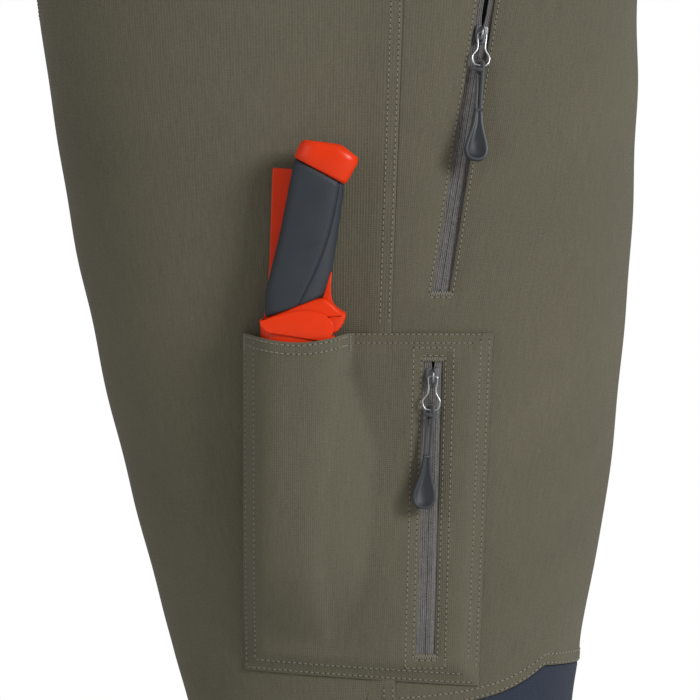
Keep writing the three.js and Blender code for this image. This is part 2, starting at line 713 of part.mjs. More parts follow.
// ---------- knife and sheath ----------
// In the knife's own frame: X to the edge side, Z up the handle, -Y away from the leg, and z = 0 at the
// sheath's mouth.
const GRIP_LEFT = [[-18.6, 8], [-20, 21.7], [-19.2, 33.6], [-17.6, 53.5], [-16.7, 77], [-16.1, 93.6]];
const GRIP_RIGHT = [[12.4, 83.6], [12.6, 66], [12.8, 48], [12.6, 35], [10.6, 24.4]];
const GRIP_LOW = [[-1.5, 19.8], [-13.5, 11.4]];
const BUTT = [[-16, 94], [12.5, 84], [17.6, 98.2], [6.5, 104.1], [-13.5, 103.4]];
const GUARD = [
  [-20.6, 4.8], [19.6, 4.8], [23.9, 17.7], [14.6, 22.6], [10.8, 24], [-1.5, 19.4], [-13.5, 11],
  [-18.4, 7.6], [-21.6, 6.6],
];
const CLIP = [[-18, -14], [-4, -14], [-3, 88], [-26.8, 86.5], [-20.2, 33]];
const LIP = [[-16, 1], [-19, 4.6], [-10, 7.2], [-3.6, 10.4], [5.6, 15.3], [13, 14.8], [18.6, 9], [16, 1]];

function sheathBody() {
  const ring = (z, x, hx, hy) => ovalRing(z, x, hx, hy, 16);
  const outer = loft([
    ring(-SHEATH_LENGTH, 12, 8, 5),
    ring(-SHEATH_LENGTH + 14, 10, 12, 6.4),
    ring(-70, 6, 14, 7.4),
    ring(-12, 0.5, 17.5, 8.6),
    ring(4.4, -0.5, 20, 8.8),
  ]);
  const cavity = loft([
    ring(-SHEATH_LENGTH + 4, 11, 5, 1.8),
    ring(-70, 6, 11, 2.6),
    ring(-12, 0.5, 14.5, 3),
    ring(5, -0.5, 15.5, 3.4),
  ]);
  const clipBack = HANDLE_HALF_DEPTH + 2;
  const lip = plate(LIP, -GUARD_HALF_DEPTH - 1.8, -GUARD_HALF_DEPTH - 0.4);
  const clip = plate(CLIP, HANDLE_HALF_DEPTH + 0.4, clipBack);
  const bridge = box(12, clipBack - 5, 11, -9, (clipBack + 5) / 2, -8.5);
  return cut(joined(outer, lip, clip, bridge), cavity);
}

function knife() {
  const group = new THREE.Group();
  group.position.copy(facePoint(KNIFE_AT.x, KNIFE_AT.h, KNIFE_AT.away));
  group.rotation.set(KNIFE_LEAN * RAD, KNIFE_TILT * RAD, 0);
  const [deep, c] = [HANDLE_HALF_DEPTH, KNIFE_CLEARANCE];
  const stem = [[-11, 4.8], [6, 4.8], [6, 100], [-11, 100]];
  const stemHole = [[-11 - c, 0], [6 + c, 0], [6 + c, 110], [-11 - c, 110]];
  const tang = [[-TANG_HALF_WIDTH, 3], [TANG_HALF_WIDTH, 3], [TANG_HALF_WIDTH, 70], [-TANG_HALF_WIDTH, 70]];
  const tangHole = [
    [-TANG_HALF_WIDTH - c, 0], [TANG_HALF_WIDTH + c, 0], [TANG_HALF_WIDTH + c, 70 + c],
    [-TANG_HALF_WIDTH - c, 70 + c],
  ];
  const core = joined(
    plate(GUARD, -GUARD_HALF_DEPTH, GUARD_HALF_DEPTH),
    plate(stem, -STEM_HALF_DEPTH, STEM_HALF_DEPTH),
    plate(BUTT, -deep, deep),
  );
  const grip = plate([...GRIP_LEFT, ...GRIP_RIGHT, ...GRIP_LOW].reverse(), -deep, deep);
  const edge = [[-8, 3.4], [-7, -40], [-3, -70], [3, -88], [11, -100], [12.5, -70], [12, 3.4]];
  const blade = joined(plate(edge, -BLADE / 2, BLADE / 2), plate(tang, -BLADE / 2, BLADE / 2));
  group.add(
    piece("knife_core", cut(core, plate(tangHole, -BLADE / 2 - c, BLADE / 2 + c)), orange),
    piece("knife_grip", cut(grip, plate(stemHole, -STEM_HALF_DEPTH - c, STEM_HALF_DEPTH + c)), gripBlack),
    piece("knife_blade", blade, steel),
    piece("knife_sheath", sheathBody(), orange),
  );
  return group;
}

// ---------- belt ----------
// A band that stands on edge: its path lies in XY, and its width runs along Z.
function ribbon(path, thickness, width) {
  const side = (sign) =>
    path.map((p, i) => {
      const [a, b] = [path[Math.max(i - 1, 0)], path[Math.min(i + 1, path.length - 1)]];
      const way = new THREE.Vector2(b[0] - a[0], b[1] - a[1]).normalize().multiplyScalar(thickness / 2);
      return [p[0] - sign * way.y, p[1] + sign * way.x];
    });
  const section = outline([...side(1), ...side(-1).reverse()]);
  return extrude(section, width).translate(0, 0, WAIST_HEIGHT - width / 2);
}

const BELT_MIDDLE = WAISTBAND_PROUD + REST_GAP + BELT / 2; // outside the waist's outline
const BELT_SECOND = BELT_MIDDLE + BELT + REST_GAP; // and where the webbing lies double
function beltPath(from, to, outside) {
  const steps = Math.round(Math.abs(to - from) / WAIST_STEP);
  return Array.from({ length: steps + 1 }, (_, i) => {
    const p = onWaist(mix(from, to, i / steps), WAIST_HEIGHT, -outside);
    return [p.x, p.y];
  });
}

// From the webbing's run behind a buckle bar, round the bar and back to where the webbing lies double.
// way is 1 for the wearer's left.
function foldRound(way) {
  const bar = BUCKLE.bar;
  const run = WAIST_DEPTH / 2 + BELT_MIDDLE;
  const around = [-90, -45, 0, 45, 90].map((a) => [
    run + BUCKLE.fold + BUCKLE.fold * Math.sin(a * RAD),
    way * (bar - BUCKLE.fold * Math.cos(a * RAD)),
  ]);
  return [...around, [run + 1.7 * BUCKLE.fold, way * (bar + 6)], [run + 0.9 * BUCKLE.fold, way * (bar + 13)]];
}

// A loop of the waistband's fabric that holds the webbing, sewn down above and below it.
function beltLoop(angle) {
  const sewn = WAISTBAND_PROUD + REST_GAP;
  const over = BELT_MIDDLE + BELT / 2 + REST_GAP;
  const edge = BELT_WIDTH / 2 + REST_GAP;
  const rows = [
    [-WAISTBAND_WIDTH / 2 + 1, sewn],
    [-edge - LOOP, sewn],
    [-edge, over],
    [0, over],
    [edge, over],
    [edge + LOOP, sewn],
    [WAISTBAND_WIDTH / 2 - 1, sewn],
  ];
  return slab(2, rows.length - 1, (u, v, k) => {
    const [up, out] = rows[Math.round(v * (rows.length - 1))];
    return onWaist(angle + (u - 0.5) * 4, WAIST_HEIGHT + up, -out - (k ? 0 : LOOP));
  });
}

// A buckle half's body with the bar that the webbing folds round. near and far are its ends along Y.
function buckleFrame(near, far, way) {
  const { deep, high, bar, fold } = BUCKLE;
  const back = WAIST_DEPTH / 2 + BELT_MIDDLE + BELT / 2 + REST_GAP;
  const block = (a, b, height, thick = deep) =>
    box(thick, Math.abs(b - a), height, back + deep / 2, (way * (a + b)) / 2, WAIST_HEIGHT);
  const barRadius = fold - BELT / 2 - SOFT_GAP / 2;
  const barX = WAIST_DEPTH / 2 + BELT_MIDDLE + fold;
  return joined(
    cut(block(near, far, high), block(bar - fold - BELT / 2 - REST_GAP, far + 1, BELT_WIDTH + 2, deep + 2)),
    new THREE.CylinderGeometry(barRadius, barRadius, high - 2, 8)
      .rotateX(Math.PI / 2)
      .translate(barX, way * bar, WAIST_HEIGHT),
  );
}

function belt() {
  const group = new THREE.Group();
  const { deep, high, half, prong } = BUCKLE;
  const webbing1 = [
    ...beltPath(WAIST_FROM + 3 * WAIST_STEP, WAIST_FROM + WAIST_STEP, BELT_SECOND),
    ...foldRound(-1).reverse(),
    ...beltPath(WAIST_FROM, 360 - WAIST_FROM, BELT_MIDDLE),
    [WAIST_DEPTH / 2 + BELT_MIDDLE, half],
  ];
  const tail = [
    ...foldRound(1).slice(2),
    ...beltPath(360 - WAIST_FROM - WAIST_STEP, 360 - WAIST_FROM - 4 * WAIST_STEP, BELT_SECOND),
  ];
  group.add(piece("belt_webbing", ribbon(webbing1, BELT, BELT_WIDTH), webbing));
  group.add(piece("belt_tail", ribbon(tail, BELT, BELT_WIDTH), webbing));
  for (const [name, angle] of [["rf", 52], ["rs", 92], ["lf", 308], ["ls", 268]])
    group.add(piece(`belt_loop_${name}`, beltLoop(angle), olive));

  // The socket is on the wearer's right, and the plug with its prongs on the left.
  const mid = WAIST_DEPTH / 2 + BELT_MIDDLE + BELT / 2 + REST_GAP + deep / 2;
  const hollow = box(deep - 5, half + 4, high - 8, mid, -(half + 4) / 2 + 1, WAIST_HEIGHT);
  const socket = cut(buckleFrame(0, BUCKLE.bar + 2, -1), hollow);
  const arm = (z, width) => box(deep - 6.6, prong + 2, width, mid, 1 - prong / 2, WAIST_HEIGHT + z);
  const arms = [arm(high / 2 - 9, 6), arm(0, 7), arm(9 - high / 2, 6)];
  const plug = joined(buckleFrame(0.6, BUCKLE.bar + 2, 1), ...arms);
  group.add(piece("buckle_socket", socket, plastic), piece("buckle_plug", plug, plastic));
  return group;
}

// A short strap that ties the two legs together in front, below the buckle.
function frontLink() {
  const at = WAIST_HEIGHT - LINK.drop;
  const edge = surface(-46, at);
  return box(LINK.thick, LINK.width, LINK.height, edge.x + LINK.thick, 0, at);
}

// ---------- the whole garment ----------
const chaps = new THREE.Group();
const right = leg("r");
const left = leg("l");
left.scale.y = -1;
chaps.add(right, left, cargoPocket(), knife(), belt());
chaps.add(piece("front_link_strap", frontLink(), webbing));
chaps.position.z = -WAIST_HEIGHT;

const part = new THREE.Group();
part.add(chaps);

export default part;
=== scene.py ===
"""Full-wrap chainsaw chaps: cloth, zips, knife pocket and belt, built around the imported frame.

Laid out as a Blender add-on and run as a script. Row frame, metres: +X the wearer's front, +Y the wearer's
left, +Z up, origin in the middle of the waist. Heights called h count up from the hem.
"""

import math

import bmesh
import bpy
import numpy as np
from bpy.props import FloatProperty, FloatVectorProperty, PointerProperty
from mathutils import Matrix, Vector
from mathutils.bvhtree import BVHTree


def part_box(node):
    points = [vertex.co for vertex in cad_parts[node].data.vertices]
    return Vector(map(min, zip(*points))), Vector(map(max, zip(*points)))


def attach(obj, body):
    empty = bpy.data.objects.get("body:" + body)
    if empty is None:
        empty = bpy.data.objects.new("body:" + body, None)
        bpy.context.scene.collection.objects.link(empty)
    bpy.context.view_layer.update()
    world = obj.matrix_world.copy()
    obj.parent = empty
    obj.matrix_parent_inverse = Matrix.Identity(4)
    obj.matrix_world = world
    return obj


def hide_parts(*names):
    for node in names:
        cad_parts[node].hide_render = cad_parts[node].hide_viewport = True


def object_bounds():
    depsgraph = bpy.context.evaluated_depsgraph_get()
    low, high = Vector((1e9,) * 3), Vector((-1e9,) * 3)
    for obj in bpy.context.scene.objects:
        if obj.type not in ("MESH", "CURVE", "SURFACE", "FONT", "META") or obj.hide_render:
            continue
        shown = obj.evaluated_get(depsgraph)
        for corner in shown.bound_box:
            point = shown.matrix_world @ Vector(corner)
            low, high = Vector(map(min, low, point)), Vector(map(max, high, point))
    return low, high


bl_info = {
    "name": "Chainsaw chaps",
    "version": (1, 0, 0),
    "blender": (4, 5, 0),
    "location": "View3D > Sidebar > Chaps",
    "description": "Makes full-wrap chainsaw chaps with a knife pocket around a packed frame",
    "category": "Object",
}

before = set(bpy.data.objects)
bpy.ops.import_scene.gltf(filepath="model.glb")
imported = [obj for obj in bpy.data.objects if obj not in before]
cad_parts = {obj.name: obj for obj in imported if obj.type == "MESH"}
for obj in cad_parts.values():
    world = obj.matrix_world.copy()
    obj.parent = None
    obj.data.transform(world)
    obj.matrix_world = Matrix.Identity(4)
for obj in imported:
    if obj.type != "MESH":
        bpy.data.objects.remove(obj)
CAD_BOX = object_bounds()

MM = 0.001
BODY = "garment"
SIDES = ("r", "l")

# ---------- the tailor's block: the same sizes as the frame's solids ----------
WAIST_HEIGHT = 1000 * MM
WAISTBAND_WIDTH = 50 * MM
WAIST_DEPTH = 244 * MM
WAIST_BREADTH = 332 * MM
WAIST_POWER = 2.6
LEG_POWER = 2.4
HIP_HEIGHT = 835 * MM
BAND_BOTTOM = WAIST_HEIGHT - WAISTBAND_WIDTH / 2
# height, back edge, front edge and half thickness of a leg's section
LEG_STATIONS = MM * np.array(
    [
        (0, -96, 112, 60),
        (180, -91, 108, 61),
        (300, -83, 112, 62),
        (390, -79, 118, 63),
        (450, -89, 122, 64),
        (560, -119, 139.5, 69),
        (670, -145, 152, 74),
        (780, -163, 157, 76),
        (835, -171, 157, 76),
    ]
)
INNER_FACE_AT_HEM = 46 * MM
INNER_FACE_AT_HIP = 14 * MM
WAIST_ANGLES = np.array([(-90, 3), (-50, 5), (0, 36), (90, 90), (180, 150), (270, 200)], float)
SIDE_SEAM = MM * np.array([(0, 10), (450, 24), (650, 21.5), (820, 27.5)], float)
CUFF_HEIGHT = 40 * MM
KNEE_BOTTOM = 262 * MM
KNEE_TOP = 470 * MM  # in front, and from there it falls away to both sides
KNEE_FALL = 24 * MM
KNEE_FRONT = 40  # degrees either side of the front before it falls
BAND_FROM, BAND_TO = -50, 108  # degrees between which a leg reaches up to the waistband
BACK_TOP = 831 * MM
CROTCH = 795 * MM
CLOTH = 1.2 * MM
BAG_DEPTH = 8 * MM
PAD_DEPTH = 9.7 * MM
PAD = 5 * MM
LINING_DEPTH = PAD_DEPTH + PAD + 0.4 * MM
LINING = 1.2 * MM

# the ends of each zip's middle line as (x, h), its depth, its slider's place and how far its pull leans
LEG_ZIP = dict(
    low=(14 * MM, 2 * MM),
    high=(2 * MM, 789 * MM),
    depth=3 * MM,
    slider_at=48 * MM,
    lean=0.06,
)
HIP_ZIP = dict(
    low=(48.4 * MM, 671 * MM),
    high=(76.9 * MM, 850 * MM),
    depth=3.7 * MM,
    slider_at=134 * MM,
    lean=0.18,
)
CARGO_ZIP = dict(
    low=(40 * MM, 478 * MM),
    high=(44.2 * MM, 634 * MM),
    depth=2.8 * MM,
    slider_at=143 * MM,
    lean=0.07,
)
TAPE_EDGE = 7 * MM  # outer fabric's edge from the leg zip's middle line
HIP_WINDOW = 4.7 * MM  # half the width of the slot that the zip shows in
CARGO_WINDOW = 4.9 * MM

POCKET_BACK = -57 * MM
POCKET_FRONT = 76 * MM
POCKET_FRONT_LOW = 68.5 * MM
POCKET_TOP = 649 * MM
POCKET_BACK_LOW = 469 * MM
POCKET_FRONT_BOTTOM = 460.5 * MM
POCKET_STAND_OFF = 5.2 * MM
POCKET_EDGE_GAP = 1.1 * MM
POCKET_MARGIN = 10 * MM
SLEEVE_DEPTH = 27 * MM
SLEEVE_DEPTH_LOW = 23 * MM

KNIFE_AT = (-27.9 * MM, 646.3 * MM)
KNIFE_AWAY = 14.4 * MM
KNIFE_TILT = math.radians(9)
KNIFE_LEAN = math.radians(4)
SHEATH_LENGTH = 118 * MM


def clamp(t):
    return np.clip(t, 0.0, 1.0)


def ease(t):
    t = clamp(t)
    return t * t * (3 - 2 * t)


def mix(a, b, t):
    return a + (b - a) * t


def unit(v):
    return v / np.linalg.norm(v, axis=-1, keepdims=True)


# ---------- the garment's surface ----------
def along(column, h):
    """A smooth line through one column of the leg's stations."""
    heights, values = LEG_STATIONS[:, 0], LEG_STATIONS[:, column]
    lower = np.r_[0, np.arange(len(heights) - 1)]
    upper = np.r_[np.arange(1, len(heights)), len(heights) - 1]
    slopes = (values[upper] - values[lower]) / (heights[upper] - heights[lower])
    h = np.clip(h, heights[0], heights[-1])
    i = np.clip(np.searchsorted(heights, h, side="right") - 1, 0, len(heights) - 2)
    step = heights[i + 1] - heights[i]
    t = (h - heights[i]) / step
    t2, t3 = t**2, t**3
    return (
        (2 * t3 - 3 * t2 + 1) * values[i]
        + (t3 - 2 * t2 + t) * step * slopes[i]
        + (3 * t2 - 2 * t3) * values[i + 1]
        + (t3 - t2) * step * slopes[i + 1]
    )


def unit_section(angle, power):
    c, s = np.cos(np.radians(angle)), np.sin(np.radians(angle))
    size = (np.abs(c) ** power + np.abs(s) ** power) ** (1 / power)
    return c / size, s / size


def leg_point(angle, h):
    back, front, half = (along(column, h) for column in (1, 2, 3))
    inner = -mix(INNER_FACE_AT_HEM, INNER_FACE_AT_HIP, h / HIP_HEIGHT)
    c, s = unit_section(angle, LEG_POWER)
    x = (front + back) / 2 + (front - back) / 2 * c
    return np.stack(np.broadcast_arrays(x, inner - half - half * s, h), -1)


def waist_point(angle, h):
    c, s = unit_section(angle, WAIST_POWER)
    return np.stack(np.broadcast_arrays(WAIST_DEPTH / 2 * c, -WAIST_BREADTH / 2 * s, h), -1)


def surface(angle, h):
    """The right leg's outer surface.

    Angle 0 is the front, 90 the outer side, 180 the back, and 270 and -90 the inner side.
    """
    angle, h = np.broadcast_arrays(np.asarray(angle, float), np.asarray(h, float))
    t = ease((h - HIP_HEIGHT) / (BAND_BOTTOM - HIP_HEIGHT))[..., None]
    at_waist = waist_point(np.interp(angle, WAIST_ANGLES[:, 0], WAIST_ANGLES[:, 1]), h)
    return leg_point(angle, h) * (1 - t) + at_waist * t


def outward(point, angle, h):
    da, dh = 0.2, 1 * MM
    across = point(angle + da, h) - point(angle - da, h)
    up = point(angle, h + dh) - point(angle, h - dh)
    return unit(np.cross(up, across))


def offset(point, angle, h, depth):
    angle, h, depth = np.broadcast_arrays(*(np.asarray(v, float) for v in (angle, h, depth)))
    return point(angle, h) - outward(point, angle, h) * depth[..., None]


def angle_at(x, h, side=1):
    """The angle on the outer side, or with side -1 the inner side, where the surface is at x."""
    x, h = np.broadcast_arrays(np.asarray(x, float), np.asarray(h, float))
    low, high = np.full(x.shape, 2.0), np.full(x.shape, 178.0)
    for _ in range(34):
        middle = (low + high) / 2
        ahead = surface(side * middle, h)[..., 0] > x
        low, high = np.where(ahead, middle, low), np.where(ahead, high, middle)
    return side * low


def face_point(x, h, away=0.0):
    point = surface(angle_at(x, h), h)
    point[..., 1] -= away
    return point


# ---------- edges of the panels ----------
def side_seam(h):
    h = np.minimum(h, HIP_HEIGHT)
    return angle_at(np.interp(h, SIDE_SEAM[:, 0], SIDE_SEAM[:, 1]), h)


def leg_zip_x(h):
    (x0, h0), (x1, h1) = LEG_ZIP["low"], LEG_ZIP["high"]
    return mix(x0, x1, (h - h0) / (h1 - h0))


def front_edge(h):
    h = np.minimum(h, HIP_HEIGHT)
    return angle_at(leg_zip_x(h) + TAPE_EDGE, h, -1)


def back_edge(h):
    h = np.minimum(h, HIP_HEIGHT)
    return 360 + angle_at(leg_zip_x(h) - TAPE_EDGE, h, -1)


def top_edge(angle):
    front = mix(CROTCH, BAND_BOTTOM, ease((angle + 90) / 40))
    fall = (angle - BAND_TO) / (180 - BAND_TO)
    outer = mix(BAND_BOTTOM, BACK_TOP, 0.5 * ease(fall) + 0.5 * clamp(fall))
    back = mix(BACK_TOP, CROTCH, ease((angle - 180) / 90))
    behind = np.where(angle < 180, outer, back)
    return np.where(angle < BAND_FROM, front, np.where(angle < BAND_TO, BAND_BOTTOM, behind))


def knee_top(angle):
    """Level in front, and curving down towards the seams."""
    beyond = np.maximum(np.abs(angle) - KNEE_FRONT, 0)
    return KNEE_TOP - KNEE_FALL * (1 - np.exp(-beyond / 18))


def level(value):
    return lambda angle: np.full(np.shape(angle), value, float)


def shifted(edge, by):
    return lambda value: edge(value) + by


# ---------- mesh building ----------
def mirrored(points, side):
    points = np.array(points, float)
    if side == "l":
        points[..., 1] *= -1
    return points


def to_row(points):
    """From heights above the hem to the row frame."""
    return np.asarray(points, float) - (0, 0, WAIST_HEIGHT)


def new_object(name, vertices, faces, uvs):
    """A smooth-shaded mesh with its faces turned outwards and a cloth map, one place for each vertex."""
    mesh = bpy.data.meshes.new(name)
    mesh.from_pydata([tuple(v) for v in vertices], [], [tuple(f) for f in faces])
    layer = mesh.uv_layers.new(name="cloth")
    corners = np.empty(len(mesh.loops), dtype=np.int32)
    mesh.loops.foreach_get("vertex_index", corners)
    layer.data.foreach_set("uv", np.asarray(uvs, np.float32)[corners].ravel())
    mesh.validate()
    made = bmesh.new()
    made.from_mesh(mesh)
    bmesh.ops.recalc_face_normals(made, faces=made.faces)
    made.to_mesh(mesh)
    made.free()
    mesh.polygons.foreach_set("use_smooth", np.ones(len(mesh.polygons), bool))
    mesh.update()
    obj = bpy.data.objects.new(name, mesh)
    bpy.context.scene.collection.objects.link(obj)
    return obj


def sheet_faces(rows, columns, keep):
    """Faces of a sheet with two sides: outer vertices first, then inner ones, and walls along its edges."""
    count = rows * columns
    j, i = np.nonzero(keep)
    a = j * columns + i
    outer = np.stack([a, a + 1, a + columns + 1, a + columns], 1)
    faces = [outer, outer[:, ::-1] + count]
    padded = np.pad(keep, 1)
    for dj, di, first, second in ((-1, 0, 0, 1), (1, 0, 2, 3), (0, -1, 3, 0), (0, 1, 1, 2)):
        edge = keep & ~padded[1 + dj : rows + dj, 1 + di : columns + di]
        quads = outer[edge[j, i]]
        start, end = quads[:, first], quads[:, second]
        faces.append(np.stack([end, start, start + count, end + count], 1))
    return np.concatenate(faces)


def cloth_sheet(name, outer, inner, keep=None, side="r"):
    """A sheet from two grids of points, (rows, columns, 3), mapped in metres, with its cut size."""
    rows, columns = outer.shape[:2]
    keep = np.ones((rows - 1, columns - 1), bool) if keep is None else keep
    across = np.linalg.norm(np.diff(outer, axis=1), axis=-1)
    upward = np.linalg.norm(np.diff(outer, axis=0), axis=-1)
    u = np.concatenate([np.zeros((rows, 1)), np.cumsum(across, 1)], 1)
    v = np.concatenate([np.zeros((1, columns)), np.cumsum(upward, 0)], 0)
    middle = u[rows // 2, :][None, :]
    uv = np.stack([np.broadcast_to(middle, (rows, columns)), v], -1).reshape(-1, 2)
    points = to_row(mirrored(np.concatenate([outer.reshape(-1, 3), inner.reshape(-1, 3)]), side))
    faces = sheet_faces(rows, columns, keep)
    used = np.unique(faces)
    renumber = np.zeros(len(points), int)
    renumber[used] = np.arange(len(used))
    made = new_object(name, points[used], renumber[faces], np.concatenate([uv, uv])[used])
    first = outer[1:, :-1] - outer[:-1, :-1]
    second = outer[:-1, 1:] - outer[:-1, :-1]
    area = float((np.linalg.norm(np.cross(first, second), axis=-1) * keep).sum())
    width, length = float(u[:, -1].max()), float(v[-1, :].max())
    return made, dict(flat=(width, length), area=min(area, width * length))


def places(length, step, fold=CLOTH):
    """Places from 0 to length, with a few close to each end so that a folded edge is round."""
    ends = np.array([0, 0.12, 0.35, 0.7, 1.1]) * fold
    count = max(2, round((length - 2 * ends[-1]) / step))
    between = np.linspace(ends[-1], length - ends[-1], count + 1)
    return np.concatenate([ends[:-1], between, length - ends[:-1][::-1]])


def folded(distance, fold):
    """How full the cloth is, from 0 at its very edge to 1."""
    return np.sqrt(np.maximum(0, 1 - (1 - clamp(distance / fold)) ** 2))


def ripples(a, b, seed, size, count=7):
    """Soft random waves about 1 high, with a mean wavelength of size."""
    chance = np.random.default_rng(seed)
    total = 0
    for _ in range(count):
        turn = chance.uniform(0, math.pi)
        wave = size * chance.uniform(0.6, 1.7)
        phase = chance.uniform(0, 2 * math.pi)
        total = total + np.sin(2 * math.pi * (a * math.cos(turn) + b * math.sin(turn)) / wave + phase)
    return total / math.sqrt(count)


def skin_faces(rings, sides, closed=False):
    """Faces round a row of rings, with a cap at each end unless the row is closed."""
    faces = []
    for k in range(rings if closed else rings - 1):
        n = (k + 1) % rings
        for i in range(sides):
            j = (i + 1) % sides
            faces.append((k * sides + i, k * sides + j, n * sides + j, n * sides + i))
    if not closed:
        faces.append(tuple(range(sides))[::-1])
        faces.append(tuple((rings - 1) * sides + i for i in range(sides)))
    return faces


def line_lengths(points):
    """How far along a line each of its points is."""
    return np.r_[0, np.cumsum(np.linalg.norm(np.diff(points, axis=0), axis=1))]


def spread_along(line, at):
    """Points on a line at the distances given."""
    lengths = line_lengths(line)
    return np.stack([np.interp(at, lengths, line[:, k]) for k in range(line.shape[1])], 1)


def tube(points, radius, sides=10, closed=False, flat=1.0):
    """Vertices and faces of a round bar through points."""
    points = np.asarray(points, float)
    count = len(points)
    ahead = np.roll(points, -1, 0) if closed else np.vstack([points[1:], points[-1:]])
    behind = np.roll(points, 1, 0) if closed else np.vstack([points[:1], points[:-1]])
    way = unit(ahead - behind)
    side = np.cross(way[0], (0.31, 0.87, 0.38))  # any way that the bar doesn't start along
    rings = []
    radius = np.broadcast_to(radius, count)
    for k in range(count):
        side = unit(side - way[k] * np.dot(side, way[k]))
        other = np.cross(way[k], side)
        turn = np.linspace(0, 2 * math.pi, sides, endpoint=False)[:, None]
        rings.append(points[k] + radius[k] * (np.cos(turn) * side + flat * np.sin(turn) * other))
    return np.concatenate(rings), skin_faces(count, sides, closed)


def curve_through(points, steps=8, closed=False):
    """A smooth line through points."""
    points = np.asarray(points, float)
    if closed:
        padded = np.vstack([points[-1], points, points[:2]])
    else:
        padded = np.vstack([2 * points[0] - points[1], points, 2 * points[-1] - points[-2]])
    t = np.linspace(0, 1, steps, endpoint=False)[:, None]
    parts = []
    for p0, p1, p2, p3 in zip(padded, padded[1:], padded[2:], padded[3:]):
        parts.append(
            0.5
            * (
                2 * p1
                + (p2 - p0) * t
                + (2 * p0 - 5 * p1 + 4 * p2 - p3) * t**2
                + (3 * p1 - p0 - 3 * p2 + p3) * t**3
            )
        )
    line = np.concatenate(parts)
    return line if closed else np.vstack([line, points[-1]])


class Bundle:
    """Several closed forms gathered into one mesh, with a material number for each face."""

    def __init__(self):
        self.vertices, self.faces, self.numbers = [], [], []
        self.count = 0

    def add(self, vertices, faces, number=0):
        self.vertices.append(np.asarray(vertices, float))
        self.faces += [tuple(int(i) + self.count for i in f) for f in faces]
        self.numbers += [number] * len(faces)
        self.count += len(vertices)

    def piece(self, name, *materials):
        mesh = bpy.data.meshes.new(name)
        mesh.from_pydata([tuple(v) for v in np.concatenate(self.vertices)], [], self.faces)
        mesh.polygons.foreach_set("material_index", self.numbers)
        mesh.polygons.foreach_set("use_smooth", np.ones(len(mesh.polygons), bool))
        for material in materials:
            mesh.materials.append(material)
        mesh.update()
        obj = bpy.data.objects.new(name, mesh)
        bpy.context.scene.collection.objects.link(obj)
        return obj


# ---------- materials ----------
class Nodes:
    """A short way to write a node material."""

    def __init__(self, name, roughness=0.6, metallic=0.0):
        self.material = bpy.data.materials.new(name)
        self.material.use_nodes = True
        self.tree = self.material.node_tree
        self.shader = self.tree.nodes["Principled BSDF"]
        self.shader.inputs["Roughness"].default_value = roughness
        self.shader.inputs["Metallic"].default_value = metallic

    def node(self, kind, **values):
        made = self.tree.nodes.new(kind)
        for key, value in values.items():
            if hasattr(made, key):
                setattr(made, key, value)
            else:
                made.inputs[key.replace("_", " ")].default_value = value
        return made

    def link(self, source, target):
        self.tree.links.new(source, target)

    def place(self, scale, cloth=True):
        where = self.node("ShaderNodeUVMap", uv_map="cloth") if cloth else self.node("ShaderNodeTexCoord")
        mapping = self.node("ShaderNodeMapping")
        mapping.inputs["Scale"].default_value = scale
        self.link(where.outputs["UV" if cloth else "Object"], mapping.inputs["Vector"])
        return mapping.outputs["Vector"]

    def noise(self, scale, cloth=True, detail=3.0, rough=0.55):
        made = self.node("ShaderNodeTexNoise", Detail=detail, Roughness=rough)
        made.inputs["Scale"].default_value = 1.0
        self.link(self.place(scale, cloth), made.inputs["Vector"])
        return made.outputs["Fac"]

    def maths(self, operation, a, b):
        made = self.node("ShaderNodeMath", operation=operation)
        for socket, value in zip(made.inputs, (a, b)):
            if isinstance(value, (int, float)):
                socket.default_value = value
            else:
                self.link(value, socket)
        return made.outputs[0]

    def span(self, value, low, high):
        """A noise, which seldom leaves the middle of its range, stretched to run from low to high."""
        made = self.node("ShaderNodeMapRange", From_Min=0.3, From_Max=0.7, To_Min=low, To_Max=high)
        self.link(value, made.inputs["Value"])
        return made.outputs["Result"]

    def tint(self, color, shade):
        """The colour times a shade that varies over the surface."""
        scaled = self.node("ShaderNodeVectorMath", operation="SCALE")
        scaled.inputs[0].default_value = color[:3]
        self.link(shade, scaled.inputs["Scale"])
        self.link(scaled.outputs["Vector"], self.shader.inputs["Base Color"])

    def bump(self, height, distance, strength=1.0):
        made = self.node("ShaderNodeBump")
        made.inputs["Strength"].default_value = strength
        made.inputs["Distance"].default_value = distance
        self.link(height, made.inputs["Height"])
        self.link(made.outputs["Normal"], self.shader.inputs["Normal"])

    def rough(self, value, low, high):
        self.link(self.span(value, low, high), self.shader.inputs["Roughness"])


